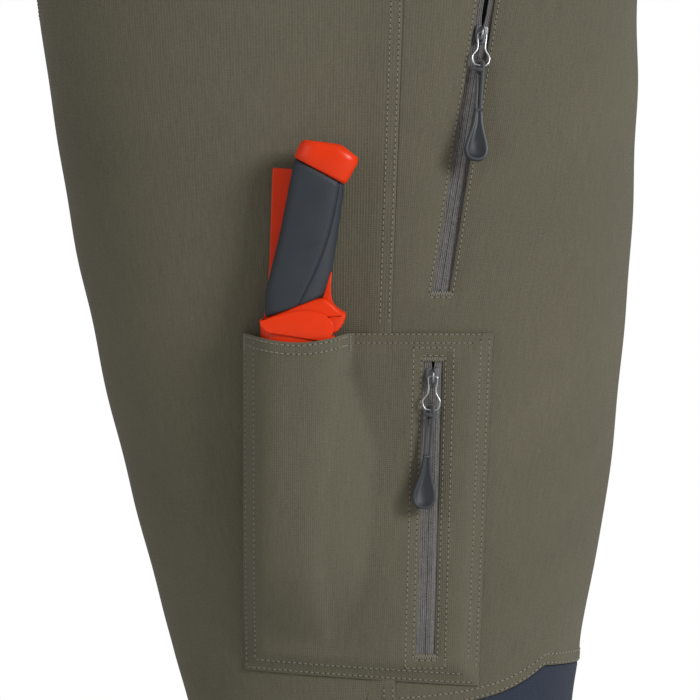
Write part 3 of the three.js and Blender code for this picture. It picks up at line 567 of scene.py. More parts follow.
def woven(name, color, slub=0.085, thread=0.55 * MM, cloth=True, mottle=0.08, relief=0.2 * MM):
    """Cotton and polyester cloth: crossing threads, uneven yarn seen as upright streaks, a soft bloom."""
    m = Nodes(name, roughness=0.92)
    streaks = m.noise((1000, 70, 1 if cloth else 1000), cloth, 4.0, 0.6)
    crossing = m.noise((640, 820, 640), cloth, 3.0, 0.6)
    broad = m.noise((9, 9, 9), cloth, 3.0, 0.5)
    shade = m.maths(
        "ADD",
        m.span(streaks, 1 - slub, 1 + slub),
        m.maths("ADD", m.span(crossing, -slub, slub), m.span(broad, -mottle, mottle)),
    )
    m.tint(color, shade)
    frequency = 1 / thread
    waves = []
    for direction, scale in (("X", (frequency, 0, 0)), ("Y", (0, frequency, 0))):
        wave = m.node("ShaderNodeTexWave", bands_direction=direction)
        wave.inputs["Scale"].default_value = 0.16
        wave.inputs["Distortion"].default_value = 0.8
        wave.inputs["Detail"].default_value = 1.0
        m.link(m.place(scale if cloth else (frequency, frequency, frequency), cloth), wave.inputs["Vector"])
        waves.append(wave.outputs["Fac"])
    height = m.maths("ADD", m.maths("MAXIMUM", *waves), m.maths("MULTIPLY", streaks, 0.9))
    m.bump(height, relief)
    m.rough(broad, 0.86, 0.98)
    m.shader.inputs["Sheen Weight"].default_value = 0.06
    m.shader.inputs["Sheen Roughness"].default_value = 0.6
    m.shader.inputs["Specular IOR Level"].default_value = 0.12
    return m.material


def moulded(name, color, low, high, grain=(900, 900, 900), relief=0.03 * MM, wear=0.06, coat=0.0, shine=0.4):
    """Plastic or rubber with a fine grain and slightly uneven gloss."""
    m = Nodes(name)
    fine = m.noise(grain, False, 4.0, 0.6)
    broad = m.noise((60, 60, 60), False, 4.0, 0.6)
    m.tint(color, m.span(broad, 1 - wear, 1 + wear))
    m.bump(fine, relief)
    m.rough(broad, low, high)
    m.shader.inputs["Specular IOR Level"].default_value = shine
    m.shader.inputs["Coat Weight"].default_value = coat
    m.shader.inputs["Coat Roughness"].default_value = 0.12
    return m.material


def metal(name, color, low, high, grain=(2600, 2600, 90), relief=0.006 * MM):
    """Plated or ground steel with fine drawn lines."""
    m = Nodes(name, metallic=1.0)
    lines = m.noise(grain, False, 3.0, 0.6)
    broad = m.noise((120, 120, 120), False, 3.0, 0.6)
    m.tint(color, m.span(broad, 0.9, 1.06))
    m.bump(lines, relief)
    m.rough(broad, low, high)
    return m.material


def thread(name, color):
    m = Nodes(name, roughness=0.55)
    twist = m.noise((3500, 3500, 3500), False, 2.0, 0.5)
    m.tint(color, m.span(twist, 0.75, 1.15))
    m.bump(twist, 0.05 * MM)
    m.shader.inputs["Sheen Weight"].default_value = 0.3
    return m.material


_made = {}


def material(name):
    """Each finish once, in the colours of the panel's settings."""
    if name not in _made:
        cloth = bpy.context.scene.chaps_cloth
        trim = bpy.context.scene.chaps_trim
        makers = {
            "olive": lambda: woven("olive_cloth", cloth.olive),
            "slate": lambda: woven("slate_cloth", cloth.slate, slub=0.05, thread=0.8 * MM, mottle=0.05),
            "pad": lambda: woven("saw_stop_fibre", cloth.fibre, slub=0.12, thread=2.2 * MM, relief=0.5 * MM),
            "mesh": lambda: woven("lining_mesh", cloth.lining, slub=0.1, thread=1.6 * MM, relief=0.3 * MM),
            "tape": lambda: woven("zip_tape", trim.tape, slub=0.16, thread=0.5 * MM, cloth=False),
            "webbing": lambda: woven("webbing", trim.webbing, slub=0.14, thread=1.4 * MM, relief=0.35 * MM),
            "thread_olive": lambda: thread("thread_olive", cloth.thread),
            "thread_slate": lambda: thread("thread_slate", (0.09, 0.1, 0.12)),
            "thread_black": lambda: thread("thread_black", (0.03, 0.031, 0.033)),
            # needle holes: near-black painted shade where the thread goes into the cloth
            "hole_shade": lambda: moulded("needle_hole_painted_shade", (0.012, 0.011, 0.009), 0.9, 1.0),
            "cord": lambda: thread("braided_cord", trim.cord),
            "pull": lambda: moulded("pull_face", trim.pull, 0.42, 0.6),
            # the pull's rim is a lighter copy of its dark moulding: a painted highlight on the raised edge
            "pull_rim_painted_highlight": lambda: moulded("pull_rim_painted_highlight", trim.pull_rim_painted_highlight, 0.38, 0.55),
            "steel": lambda: metal("plated_steel", (0.4, 0.41, 0.42), 0.24, 0.4),
            "gun": lambda: metal("slider_enamel", (0.2, 0.2, 0.21), 0.32, 0.46),
            "blade": lambda: metal("ground_steel", (0.55, 0.56, 0.58), 0.2, 0.34),
            "orange": lambda: moulded(
                "orange_plastic", trim.orange, 0.3, 0.42, relief=0.004 * MM, coat=0.08, shine=0.2
            ),
            "grip": lambda: moulded(
                "soft_grip", trim.grip, 0.5, 0.66, grain=(1500, 1500, 1500), relief=0.16 * MM, wear=0.12
            ),
            "plastic": lambda: moulded("black_acetal", (0.016, 0.017, 0.018), 0.34, 0.5),
        }
        _made[name] = makers[name]()
    return _made[name]


def finished(obj, material_name, slot, *replaces, body=BODY):
    """Gives a piece its finish, unless it has its own, and its body, and hides the frame nodes it stands
    for.
    """
    if material_name:
        obj.data.materials.clear()
        obj.data.materials.append(material(material_name))
    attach(obj, body)
    if replaces:
        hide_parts(*replaces)
    return obj


# ---------- sewing ----------
class Sewing:
    """Rows of stitches and bar tacks that settle onto the cloth they are sewn through."""

    # one stitch's corners: along it, across it and up from the cloth, as shares of its own sizes
    RINGS = ((-1.0, 0.3, -0.2), (-0.62, 0.9, 0.75), (0.0, 1.0, 1.0), (0.62, 0.9, 0.75), (1.0, 0.3, -0.2))
    SECTION = ((-1.0, -0.4), (-0.6, 0.8), (0.6, 0.8), (1.0, -0.4))
    HALF_LENGTH = 0.36  # of a stitch, as a share of the distance between stitches
    HEIGHT = 0.32 * MM
    LIFT = 0.04 * MM
    HOLE = 0.36 * MM
    HOLE_SIDES = 6
    ZIGZAG = 0.6 * MM

    def __init__(self, *cloths):
        self.bundle = Bundle()
        vertices, faces = [], []
        for cloth in cloths:
            start = len(vertices)
            vertices += [v.co.copy() for v in cloth.data.vertices]
            faces += [tuple(i + start for i in p.vertices) for p in cloth.data.polygons]
        self.tree = BVHTree.FromPolygons(vertices, faces)

    def settle(self, points, ways):
        """Where rays from outside meet the cloth, with the way out there. Points off it are left out."""
        found, normals = [], []
        for point, way in zip(points, ways):
            out = Vector(way)
            hit, normal, _, _ = self.tree.ray_cast(Vector(point) + out * 10 * MM, -out, 20 * MM)
            if hit is not None:
                found.append(hit)
                normals.append(normal if normal.dot(out) > 0 else -normal)
        return np.array(found).reshape(-1, 3), np.array(normals).reshape(-1, 3)

    def row(self, points, ways):
        """Even stitches along a line. ways are the ways out of the cloth at its points."""
        sewing = bpy.context.scene.chaps_sewing
        points, ways = np.asarray(points, float), np.asarray(ways, float)
        lengths = line_lengths(points)
        count = max(2, round(lengths[-1] / sewing.stitch))
        at = (np.arange(count) + 0.5) * lengths[-1] / count
        spread = [np.stack([np.interp(at, lengths, a[:, k]) for k in range(3)], 1) for a in (points, ways)]
        centres, up = self.settle(*spread)
        if len(centres) < 2:
            return
        ahead = unit(np.vstack([centres[1:] - centres[:-1], centres[-1:] - centres[-2:-1]]))
        aside = unit(np.cross(up, ahead))
        half, width = self.HALF_LENGTH * sewing.stitch, sewing.thread / 2
        shape = np.array([(a, w * x, y * t) for a, w, t in self.RINGS for x, y in self.SECTION])
        stitches = (
            centres[:, None]
            + ahead[:, None] * shape[None, :, :1] * half
            + aside[:, None] * shape[None, :, 1:2] * width
            + up[:, None] * (self.LIFT + shape[None, :, 2:] * self.HEIGHT)
        )
        faces = skin_faces(len(self.RINGS), len(self.SECTION))
        for stitch in stitches:
            self.bundle.add(stitch, faces)
        self.holes(centres, ahead, aside, up, sewing.stitch / 2)

    def holes(self, centres, ahead, aside, up, reach):
        """Needle holes at each end of a stitch: small sunken cones, coloured near black as painted shade."""
        turn = np.linspace(0, 2 * math.pi, self.HOLE_SIDES, endpoint=False)
        sides = range(self.HOLE_SIDES)
        faces = [tuple(sides)] + [((i + 1) % self.HOLE_SIDES, i, self.HOLE_SIDES) for i in sides]
        for centre, a, s, n in zip(centres + ahead * reach + up * 0.05 * MM, ahead, aside, up):
            rim = centre + self.HOLE * (np.cos(turn)[:, None] * a + np.sin(turn)[:, None] * s)
            self.bundle.add(np.vstack([rim, [centre - n * 0.4 * MM]]), faces, 1)

    def bar_tack(self, start, end, way, width=2.4 * MM):
        """A short block of close zigzag stitches from start to end."""
        start, end = np.asarray(start, float), np.asarray(end, float)
        count = max(3, int(np.linalg.norm(end - start) / self.ZIGZAG))
        line = start + (end - start) * np.linspace(0, 1, count)[:, None]
        centres, up = self.settle(line, np.broadcast_to(way, line.shape))
        if len(centres) < 2:
            return
        ahead = unit(centres[-1] - centres[0])
        for k, (centre, n) in enumerate(zip(centres, up)):
            aside = np.cross(n, ahead)
            lean = ahead * (0.3 if k % 2 else -0.3) * MM
            reach = aside * width / 2
            bar = [centre - reach - lean, centre + n * 0.3 * MM, centre + reach + lean]
            self.bundle.add(*tube(curve_through(bar, 3), 0.3 * MM, 5), 0)

    def piece(self, name, thread_name, slot):
        # the second material paints the shade in the needle holes
        made = self.bundle.piece(name, material(thread_name), material("hole_shade"))
        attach(made, BODY)
        return made


# ---------- how the cloth hangs ----------
def near(value, low, high, soft):
    """1 inside a span, and easing to 0 within soft of it outside."""
    return ease((value - low) / soft + 1) * ease((high - value) / soft + 1)


def zip_x(line, h):
    (x0, h0), (x1, h1) = line["low"], line["high"]
    return mix(x0, x1, (h - h0) / (h1 - h0))


def beside_zip(line, x, h, wide=8 * MM, soft=18 * MM):
    middle = zip_x(line, h)
    return near(x, middle - wide, middle + wide, soft) * near(h, line["low"][1], line["high"][1], soft)


GIRTH = 1.95 * MM  # of the leg for each degree


def drape(angle, h):
    """Soft upright folds, still where something flat is sewn on."""
    x = surface(angle, h)[..., 0]
    outer = (angle > 0) & (angle < 180)
    pocket = near(x, POCKET_BACK, POCKET_FRONT, 20 * MM) * near(h, POCKET_FRONT_BOTTOM, POCKET_TOP, 16 * MM)
    still = np.maximum(pocket, beside_zip(HIP_ZIP, x, h)) * outer
    still = np.maximum(still, beside_zip(LEG_ZIP, x, h) * ~outer)
    still = np.maximum(still, near(h, BAND_BOTTOM - 12 * MM, 2.0, 30 * MM))
    still = np.maximum(still, near(h, -1.0, CUFF_HEIGHT, 25 * MM))
    size = bpy.context.scene.chaps_sewing.folds
    across = angle * GIRTH
    folds = ripples(across, 0.35 * h, 3, 150 * MM) + 0.35 * ripples(across, 0.8 * h, 8, 60 * MM)
    knee = near(h, 370 * MM, 440 * MM, 60 * MM) * ripples(0.5 * across, 1.6 * h, 5, 70 * MM)
    return (1 - still) * size * (folds + 0.5 * knee)


def tabulated(edge):
    """An edge as a quick table over height."""
    heights = np.linspace(0, WAIST_HEIGHT, 501)
    angles = edge(heights)
    return lambda h: np.interp(h, heights, angles)


def run_length(points):
    return float(line_lengths(points)[-1])


def cut_line(lengths, step, slot=None):
    """Segment number and share along it, for a line in segments, close together beside every fold."""
    numbers, shares = [], []
    for k, length in enumerate(lengths):
        part = np.linspace(0, 1, 3) if k == slot else places(length, step) / length
        part = part if k == 0 else part[1:]
        numbers += [k] * len(part)
        shares += list(part)
    return np.array(numbers), np.array(shares)


class Cut:
    """A panel's grid between edges (angle or x over height) and levels (height over angle or x).

    With four edges and four levels the middle field is left open for a zip.
    """

    SOME_HEIGHT = 550 * MM  # where the first edge is read, to find the panel's middle
    ROUNDS = 8  # in which every place on the grid settles between its edges and levels
    CLOSE = 1e-9

    def __init__(self, edges, levels, place, step=3.4 * MM):
        has_slot = len(edges) == 4
        slot = 1 if has_slot else None
        start = edges[0](self.SOME_HEIGHT)
        middle = float(np.mean([level(start) for level in (levels[0], levels[-1])]))
        ends = np.array([float(edge(middle)) for edge in edges])
        runs = [np.linspace(a, b, 60) for a, b in zip(ends, ends[1:])]
        across = np.array([run_length(place(run, middle)) for run in runs])
        centre = ends[len(ends) // 2]
        upright = np.array([float(level(centre)) for level in levels])
        k, t = cut_line(across, step, slot)
        m, s = cut_line(np.diff(upright), step)
        columns = np.arange(len(k))
        heights = np.array([level(mix(ends[k], ends[k + 1], t)) for level in levels])
        for _ in range(self.ROUNDS):
            lines = np.array([edge(heights) for edge in edges])
            spots = mix(lines[k, :, columns], lines[k + 1, :, columns], t[:, None]).T
            heights = np.array([level(spot) for level, spot in zip(levels, spots)])
        self.h = mix(heights[m][:, columns], heights[m + 1][:, columns], s[:, None])
        lines = np.array([edge(self.h) for edge in edges])
        rows = np.arange(len(m))[:, None]
        self.at = mix(lines[k[None, :], rows, columns], lines[k[None, :] + 1, rows, columns], t)
        run_u = np.r_[0, np.cumsum(across)]
        run_v = np.r_[0, np.cumsum(np.diff(upright))]
        self.u = (run_u[k] + t * across[k])[None, :]
        self.v = (run_v[m] + s * np.diff(upright)[m])[:, None]
        self.width, self.height = run_u[-1], run_v[-1]
        aside = np.minimum(self.u, self.width - self.u)
        self.rim = np.minimum(aside, np.minimum(self.v, self.height - self.v))
        self.keep = None
        if has_slot:
            beside = np.maximum(0, np.maximum(run_u[1] - self.u, self.u - run_u[2]))
            beyond = np.maximum(0, np.maximum(run_v[1] - self.v, self.v - run_v[2]))
            self.slot = np.hypot(beside, beyond)
            inner_columns = (k[1:] == 1) & (k[:-1] <= 1) & (self.u[0, :-1] >= run_u[1] - self.CLOSE)
            inner_rows = (m[1:] == 1) & (m[:-1] <= 1) & (self.v[:-1, 0] >= run_v[1] - self.CLOSE)
            self.keep = ~(inner_rows[:, None] & inner_columns[None, :])
            self.rim = np.minimum(self.rim, self.slot)

    def sides(self, depth, thickness):
        """Depths of the outer and inner face, which close in on each other at every folded edge."""
        thin = thickness / 2 * (1 - np.maximum(0.25, folded(self.rim, thickness)))
        return depth + thin, depth + thickness - thin


def leg_cloth(name, side, edges, levels, depth=0.0, thickness=CLOTH, step=3.4 * MM, lift=None, hang=1.0):
    """A panel of the leg. lift(cut) is how far its parts stand above the leg's own surface."""
    cut = Cut(edges, levels, surface, step)
    out, into = cut.sides(depth, thickness)
    rise = hang * drape(cut.at, cut.h) + (lift(cut) if lift else 0)
    grids = [offset(surface, cut.at, cut.h, d - rise) for d in (out, into)]
    return cloth_sheet(name, *grids, keep=cut.keep, side=side)


def sewn_down(distance, width=8.5 * MM, high=1.3 * MM, soft=5 * MM):
    """The step of a seam allowance folded under and sewn down beside an edge."""
    return high * ease((width - distance) / soft + 0.3)


def hung_sheet(obj, size, *rests_on):
    return obj


def row_points(side, angles, heights, point=surface):
    """A line on the leg in the row frame, with the ways out."""
    points, ways = point(angles, heights), outward(point, angles, heights)
    return to_row(mirrored(points, side)), mirrored(ways, side)


def leg_edges():
    """Angles of a leg's edges over height, with the narrow gap between the panels at the side seam."""
    seam = tabulated(side_seam)
    return dict(
        front=tabulated(front_edge),
        seam_front=lambda h: seam(h) + 0.25,
        seam_back=lambda h: seam(h) - 0.1,
        back=tabulated(back_edge),
        seam=seam,
    )


# ---------- legs ----------
def hip_slot_edges():
    """The slot over the hip zip. Its edges run on upright past these heights."""
    lowest, highest = 300 * MM, HIP_HEIGHT + 30 * MM

    def edge(aside):
        def angles(h):
            x = zip_x(HIP_ZIP, np.clip(h, lowest, highest)) + aside
            return angle_at(x, np.minimum(h, highest))

        return tabulated(angles)

    return edge(HIP_WINDOW), edge(-HIP_WINDOW)


def make_outer_panels(side, edges):
    """Front, knee, shin and back of one leg, and its cuff."""
    gap = 0.3 * MM
    into_band = shifted(top_edge, 2.5 * MM)
    front, seam_front, seam_back, back = (edges[k] for k in ("front", "seam_front", "seam_back", "back"))
    hip_front, hip_rear = hip_slot_edges()

    def into_zip(cut):
        return -1.7 * MM * ease(1 - cut.slot / (6.5 * MM)) + sewn_down(cut.v, 8 * MM, 0.7 * MM)

    thigh, size = leg_cloth(
        f"thigh_front_cloth_{side}",
        side,
        (front, hip_front, hip_rear, seam_front),
        (shifted(knee_top, gap), level(HIP_ZIP["low"][1]), level(HIP_ZIP["high"][1]), into_band),
        lift=into_zip,
    )
    hung_sheet(finished(thigh, "olive", "olive_fabric", f"thigh_front_{side}"), size, f"waistband_{side}")
    made = [thigh]

    def over_seam(cut):
        return sewn_down(cut.u)

    knee_bottom, knee_end, shin_end = level(KNEE_BOTTOM), shifted(knee_top, -gap), level(KNEE_BOTTOM - gap)
    cuff_top = level(CUFF_HEIGHT)
    panels = (
        ("knee_panel", "slate", (front, seam_front), (knee_bottom, knee_end), None),
        ("shin_panel", "olive", (front, seam_front), (cuff_top, shin_end), None),
        ("leg_back", "olive", (seam_back, back), (cuff_top, into_band), over_seam),
    )
    for node, cloth, ends, levels, lift in panels:
        obj, size = leg_cloth(f"{node}_cloth_{side}", side, ends, levels, lift=lift)
        hung_sheet(finished(obj, cloth, f"{cloth}_fabric", f"{node}_{side}"), size, f"waistband_{side}")
        made.append(obj)
    cuff, size = leg_cloth(
        f"cuff_cloth_{side}", side, (front, back), (level(0), cuff_top), depth=-0.9 * MM, thickness=2.1 * MM
    )
    hung_sheet(finished(cuff, "slate", "slate_fabric", f"cuff_{side}"), size, f"shin_panel_{side}")
    return [*made, cuff]


def sew_leg(side, edges, cloths):
    """Rows behind the side seam, round the knee panel, beside both zips, and at the hem and the top."""
    sewing, slate = Sewing(*cloths), Sewing(*cloths)

    def level_row(where, angles, h):
        where.row(*row_points(side, angles, np.full(angles.shape, h)))

    spans = [(CUFF_HEIGHT, BAND_BOTTOM - 3 * MM)]
    if side == "r":
        # the thigh pocket covers the seam's middle
        spans = [(CUFF_HEIGHT, 462 * MM), (654 * MM, BAND_BOTTOM - 3 * MM)]
    for low, high in spans:
        heights = np.arange(low, high, 6 * MM)
        for behind in (1.2 * MM, 5.9 * MM):
            x = surface(edges["seam"](heights), heights)[..., 0] - behind
            sewing.row(*row_points(side, angle_at(x, np.minimum(heights, HIP_HEIGHT)), heights))
    at_knee, at_hem = 460 * MM, 20 * MM
    first, last = float(edges["front"](at_knee)), float(edges["seam_front"](at_knee))
    over_knee = np.linspace(first + 2, last - 1.5, 120)
    for above in (1.6 * MM, 6.4 * MM):
        sewing.row(*row_points(side, over_knee, knee_top(over_knee) + above))
    round_hem = np.linspace(first + 2, float(edges["back"](at_hem)) - 2, 240)
    for above in (1.8 * MM, 6.5 * MM):
        level_row(slate, over_knee, KNEE_BOTTOM + above)
    for h in (CUFF_HEIGHT - 2.2 * MM, CUFF_HEIGHT - 7 * MM, 9 * MM):
        level_row(slate, round_hem, h)
    for edge, beside in ((edges["front"], 2), (edges["back"], -2)):
        heights = np.arange(CUFF_HEIGHT + 4 * MM, LEG_ZIP["high"][1] - 6 * MM, 6 * MM)
        sewing.row(*row_points(side, edge(heights) + beside, heights))
    sew_zip_frame(sewing, side, HIP_ZIP, face_point, (6.3 * MM,), HIP_WINDOW)
    level_row(sewing, np.linspace(BAND_FROM + 6, BAND_TO - 2, 160), BAND_BOTTOM - 2.5 * MM)
    back_top = np.linspace(112, 262, 150)
    for below in (2.5 * MM, 9 * MM):
        sewing.row(*row_points(side, back_top, top_edge(back_top) - below))
    sewing.piece(f"leg_stitches_{side}", "thread_olive", "olive_fabric")
    slate.piece(f"cuff_stitches_{side}", "thread_slate", "slate_fabric")


def sew_zip_frame(sewing, side, line, place, offsets, window, past=3 * MM):
    """Rows round a zip's window and a bar tack across each end."""
    (_, low), (_, high) = line["low"], line["high"]

    def spot(x, h):
        return to_row(mirrored(place(x, h), side))

    way = mirrored(np.array([0.0, -1.0, 0.0]), side)
    for away in offsets:
        bottom, top = low - past - (away - offsets[0]), high + past + (away - offsets[0])
        corners = [(-away, bottom), (-away, top), (away, top), (away, bottom), (-away, bottom)]
        for (a, h0), (b, h1) in zip(corners, corners[1:]):
            share = np.linspace(0, 1, 40)
            h = mix(h0, h1, share)
            points = spot(zip_x(line, h) + mix(a, b, share), h)
            sewing.row(points, np.broadcast_to(way, points.shape))
    for h in (low - 1 * MM, high + 1 * MM):
        ends = spot(zip_x(line, h) + np.array([-1, 1]) * (window + 0.6 * MM), np.array([h, h]))
        sewing.bar_tack(ends[0], ends[1], way)


def make_padding(side):
    """Saw-stop pad, its lining and the hip pocket's bag, behind the outer cloth."""
    clear = 16 * MM
    inner = -1  # the leg's inner side, where its zip is
    pad_from = tabulated(lambda h: angle_at(leg_zip_x(h) + clear, np.minimum(h, HIP_HEIGHT), inner))
    pad_to = tabulated(lambda h: 360 + angle_at(leg_zip_x(h) - clear, np.minimum(h, HIP_HEIGHT), inner))
    low = level(CUFF_HEIGHT + 8 * MM)

    def high(angle):
        return top_edge(angle) - np.where((angle > BAND_FROM) & (angle < BAND_TO), 0.6, 12) * MM

    def quilted(cut):
        """Pulled in along upright quilting rows, and full between them."""
        row = np.abs(((cut.u / (62 * MM)) % 1) - 0.5) * 2
        return -1.1 * MM * ease((row - 0.86) / 0.14)

    pad, _ = leg_cloth(
        f"saw_stop_pad_{side}",
        side,
        (pad_from, pad_to),
        (low, high),
        depth=PAD_DEPTH + 0.4 * MM,
        thickness=PAD - 0.6 * MM,
        step=7 * MM,
        lift=quilted,
        hang=0,
    )
    finished(pad, "pad", "pad_fibre", f"saw_cut_pad_{side}")
    lining, size = leg_cloth(
        f"lining_cloth_{side}",
        side,
        (pad_from, pad_to),
        (low, high),
        depth=LINING_DEPTH,
        thickness=LINING,
        step=7 * MM,
        hang=0,
    )
    hung_sheet(finished(lining, "mesh", "lining_mesh", f"lining_{side}"), size, f"waistband_{side}")

    below_bag = 600 * MM
    bag_front = tabulated(lambda h: angle_at(118 * MM, np.clip(h, below_bag, HIP_HEIGHT)))
    bag_rear = tabulated(lambda h: angle_at(32 * MM, np.clip(h, below_bag, HIP_HEIGHT)))
    bag, size = leg_cloth(
        f"hip_pocket_lining_{side}",
        side,
        (bag_front, bag_rear),
        (level(655 * MM), level(862 * MM)),
        depth=BAG_DEPTH,
        thickness=0.7 * MM,
        step=6 * MM,
        hang=0,
    )
    hung_sheet(finished(bag, "mesh", "lining_mesh", f"hip_pocket_bag_{side}"), size, f"thigh_front_{side}")


def make_waistband(side):
    """The padded band, with rows of stitches above and below the belt."""
    first, last = 4.0, 100.0  # degrees round the waist
    low, high = BAND_BOTTOM + 0.4 * MM, WAIST_HEIGHT + WAISTBAND_WIDTH / 2
    cut = Cut((level(first), level(last)), (level(low), level(high)), waist_point, 4 * MM)
    proud, thick, radius = 0.5 * MM, 8.5 * MM, 3.2 * MM
    inward = 1 - clamp(cut.rim / radius)
    round_in = (1 - np.sqrt(np.maximum(0.03, 1 - inward**2))) * radius
    soft = 0.25 * MM * ripples(cut.at * 2.6 * MM, cut.h, 21, 30 * MM) * clamp(cut.rim / (6 * MM))
    outer = offset(waist_point, cut.at, cut.h, -proud + round_in + np.abs(soft))
    inner = offset(waist_point, cut.at, cut.h, -proud + thick - round_in)
    band, _ = cloth_sheet(f"waistband_cloth_{side}", outer, inner, side=side)
    finished(band, "olive", "olive_fabric", f"waistband_{side}")
    sewing = Sewing(band)
    angles = np.linspace(first + 1.5, last - 1.5, 200)
    for h in (low + 2.6 * MM, high - 3.6 * MM):
        sewing.row(*row_points(side, angles, np.full(angles.shape, h), waist_point))
    sewing.piece(f"waistband_stitches_{side}", "thread_olive", "olive_fabric")


# ---------- thigh pocket ----------
def pocket_front_edge(h):
    share = (h - POCKET_FRONT_BOTTOM) / (POCKET_TOP - POCKET_FRONT_BOTTOM)
    return mix(POCKET_FRONT_LOW, POCKET_FRONT, share)


def pocket_bottom(x):
    return mix(POCKET_BACK_LOW, POCKET_FRONT_BOTTOM, (x - POCKET_BACK) / (POCKET_FRONT_LOW - POCKET_BACK))


def sleeve_front(h):
    return -1 * MM + (h - POCKET_TOP) * 0.06


def pocket_stand_off(x, h, gap=POCKET_EDGE_GAP, margin=POCKET_MARGIN):
    """How far the inside of the pocket's front stands away from the leg."""
    in_sleeve = x < sleeve_front(h)
    low = pocket_bottom(x)
    to_top = np.where(in_sleeve, margin, POCKET_TOP - h)
    to_side = np.minimum(x - POCKET_BACK, pocket_front_edge(h) - x)
    nearest = np.minimum(to_side, np.minimum(h - low, to_top))
    base = mix(gap, POCKET_STAND_OFF, ease(nearest / margin))
    reach = (sleeve_front(h) - POCKET_BACK) / 2
    share = np.abs((x - POCKET_BACK - reach) / reach)
    dome = np.maximum(0, 1 - share**3.0) ** 0.5
    full = mix(SLEEVE_DEPTH_LOW, SLEEVE_DEPTH, clamp((h - 525 * MM) / (110 * MM)))
    deep = full * ease((h - low) / (60 * MM))
    return np.where(in_sleeve, base + np.maximum(0, deep - base) * dome, base)


def pocket_point(x, h):
    return face_point(x, h, pocket_stand_off(x, h) + CLOTH)


def soft_pocket(x, h, more=0.0):
    """The pocket's cloth as it lies: softer than the frame's, and sewn flat round its edge."""
    stand = pocket_stand_off(x, h, 0.15 * MM, 12 * MM)
    # below its mouth the sleeve's cloth slopes gently back to the flat part of the pocket
    spread = mix(10 * MM, 42 * MM, ease((POCKET_TOP - h) / (70 * MM)))
    slope = ease(1 - (x - sleeve_front(h) + 10 * MM) / spread) * ease((h - pocket_bottom(x)) / (70 * MM))
    sloped = np.maximum(stand, 0.85 * SLEEVE_DEPTH_LOW * slope)
    stand = np.where(x > sleeve_front(h) - 10 * MM, sloped, stand)
    calm = beside_zip(CARGO_ZIP, x, h, 6 * MM, 12 * MM)
    rim = np.minimum(np.minimum(x - POCKET_BACK, pocket_front_edge(h) - x), h - pocket_bottom(x))
    free = clamp(rim / (16 * MM)) * (1 - calm)
    wave = 0.45 * MM * free * ripples(x, 0.5 * h, 31, 55 * MM)
    # between the twin rows of stitches the cloth puckers
    pucker = 0.16 * MM * np.sin(h / (4.1 * MM)) * np.sin(x / (4.3 * MM))
    pucker = pucker * np.exp(-(((rim - 5 * MM) / (4 * MM)) ** 2))
    return face_point(x, h, stand + wave + pucker + more)


def pocket_mouth(x):
    """Height of the pocket's top edge, which dips in front of the knife."""
    axis = (x - KNIFE_AT[0]) / (27 * MM)
    return POCKET_TOP - 5 * MM * np.maximum(0, 1 - axis * axis)


def pocket_face(x, h):
    return soft_pocket(x, h, CLOTH)


def make_thigh_pocket():
    """The pocket's cloth, with a hem at its mouth and a window for its zip."""
    edges = (
        level(POCKET_BACK),
        lambda h: zip_x(CARGO_ZIP, h) - CARGO_WINDOW,
        lambda h: zip_x(CARGO_ZIP, h) + CARGO_WINDOW,
        pocket_front_edge,
    )
    levels = (pocket_bottom, level(CARGO_ZIP["low"][1]), level(CARGO_ZIP["high"][1]), pocket_mouth)
    cut = Cut(edges, levels, face_point, 2.6 * MM)
    out, into = cut.sides(0, CLOTH)
    hem = 0.55 * MM * ease((9 * MM - (cut.height - cut.v)) / (1.5 * MM) + 0.5)
    dip = 1.4 * MM * ease(1 - cut.slot / (6 * MM))
    grids = [soft_pocket(cut.at, cut.h, CLOTH - d + hem * (d < CLOTH / 2) - dip) for d in (out, into)]
    pocket, size = cloth_sheet("cargo_pocket_cloth", *grids, keep=cut.keep)
    finished(pocket, "olive", "olive_fabric", "cargo_pocket")
    hung_sheet(pocket, size, "thigh_front_r", "leg_back_r")
    sew_pocket(pocket)


def sew_pocket(pocket):
    """Twin rows round the pocket, twin frames round its zip and a bar tack where the knife's sleeve ends."""
    sewing = Sewing(pocket)
    outward_way = np.array([0.0, -1.0, 0.0])

    def row(x, h):
        points = to_row(pocket_face(x, h))
        sewing.row(points, np.broadcast_to(outward_way, points.shape))

    mouth_end = sleeve_front(POCKET_TOP) + 1 * MM
    for inside in (1.7 * MM, 6.3 * MM):
        h = np.arange(pocket_bottom(POCKET_BACK) + inside, POCKET_TOP - 1.5 * MM, 5 * MM)
        row(np.full(h.shape, POCKET_BACK + inside), h)
        row(pocket_front_edge(h) - inside, h)
        x = np.arange(POCKET_BACK + inside, POCKET_FRONT_LOW - inside, 5 * MM)
        row(x, pocket_bottom(x) + inside)
        x = np.arange(mouth_end, POCKET_FRONT - inside, 5 * MM)
        row(x, np.full(x.shape, POCKET_TOP - inside + 1 * MM))
        x = np.arange(POCKET_BACK + 2 * MM, mouth_end, 3 * MM)
        row(x, pocket_mouth(x) - inside)
    sew_zip_frame(sewing, "r", CARGO_ZIP, pocket_face, (6.4 * MM, 10.6 * MM), CARGO_WINDOW)
    for x in (mouth_end, POCKET_BACK + 1.5 * MM):
        ends = to_row(pocket_face(np.array([x, x]), POCKET_TOP - np.array([9, 1]) * MM))
        sewing.bar_tack(ends[0], ends[1], outward_way)
    sewing.piece("cargo_pocket_stitches", "thread_olive", "olive_fabric")


# ---------- zips ----------
SLIDER_PLATE_IN = 1.3 * MM
SLIDER_PLATE_OUT = 2.1 * MM
PIVOT = np.array([0, 4.2 * MM, 5 * MM])  # where a pull hangs, from its slider's lower end
BAIL_LENGTH = 18 * MM
BAIL_RING = 4.6 * MM  # half the width of the bail's eye
WIRE = 1.2 * MM
CORD = 1.9 * MM
PULL_TOP = 41.5 * MM  # from the pivot down to the moulded end
PULL_SWAY = math.radians(4.8)  # how far the pulls hang towards the wearer's back


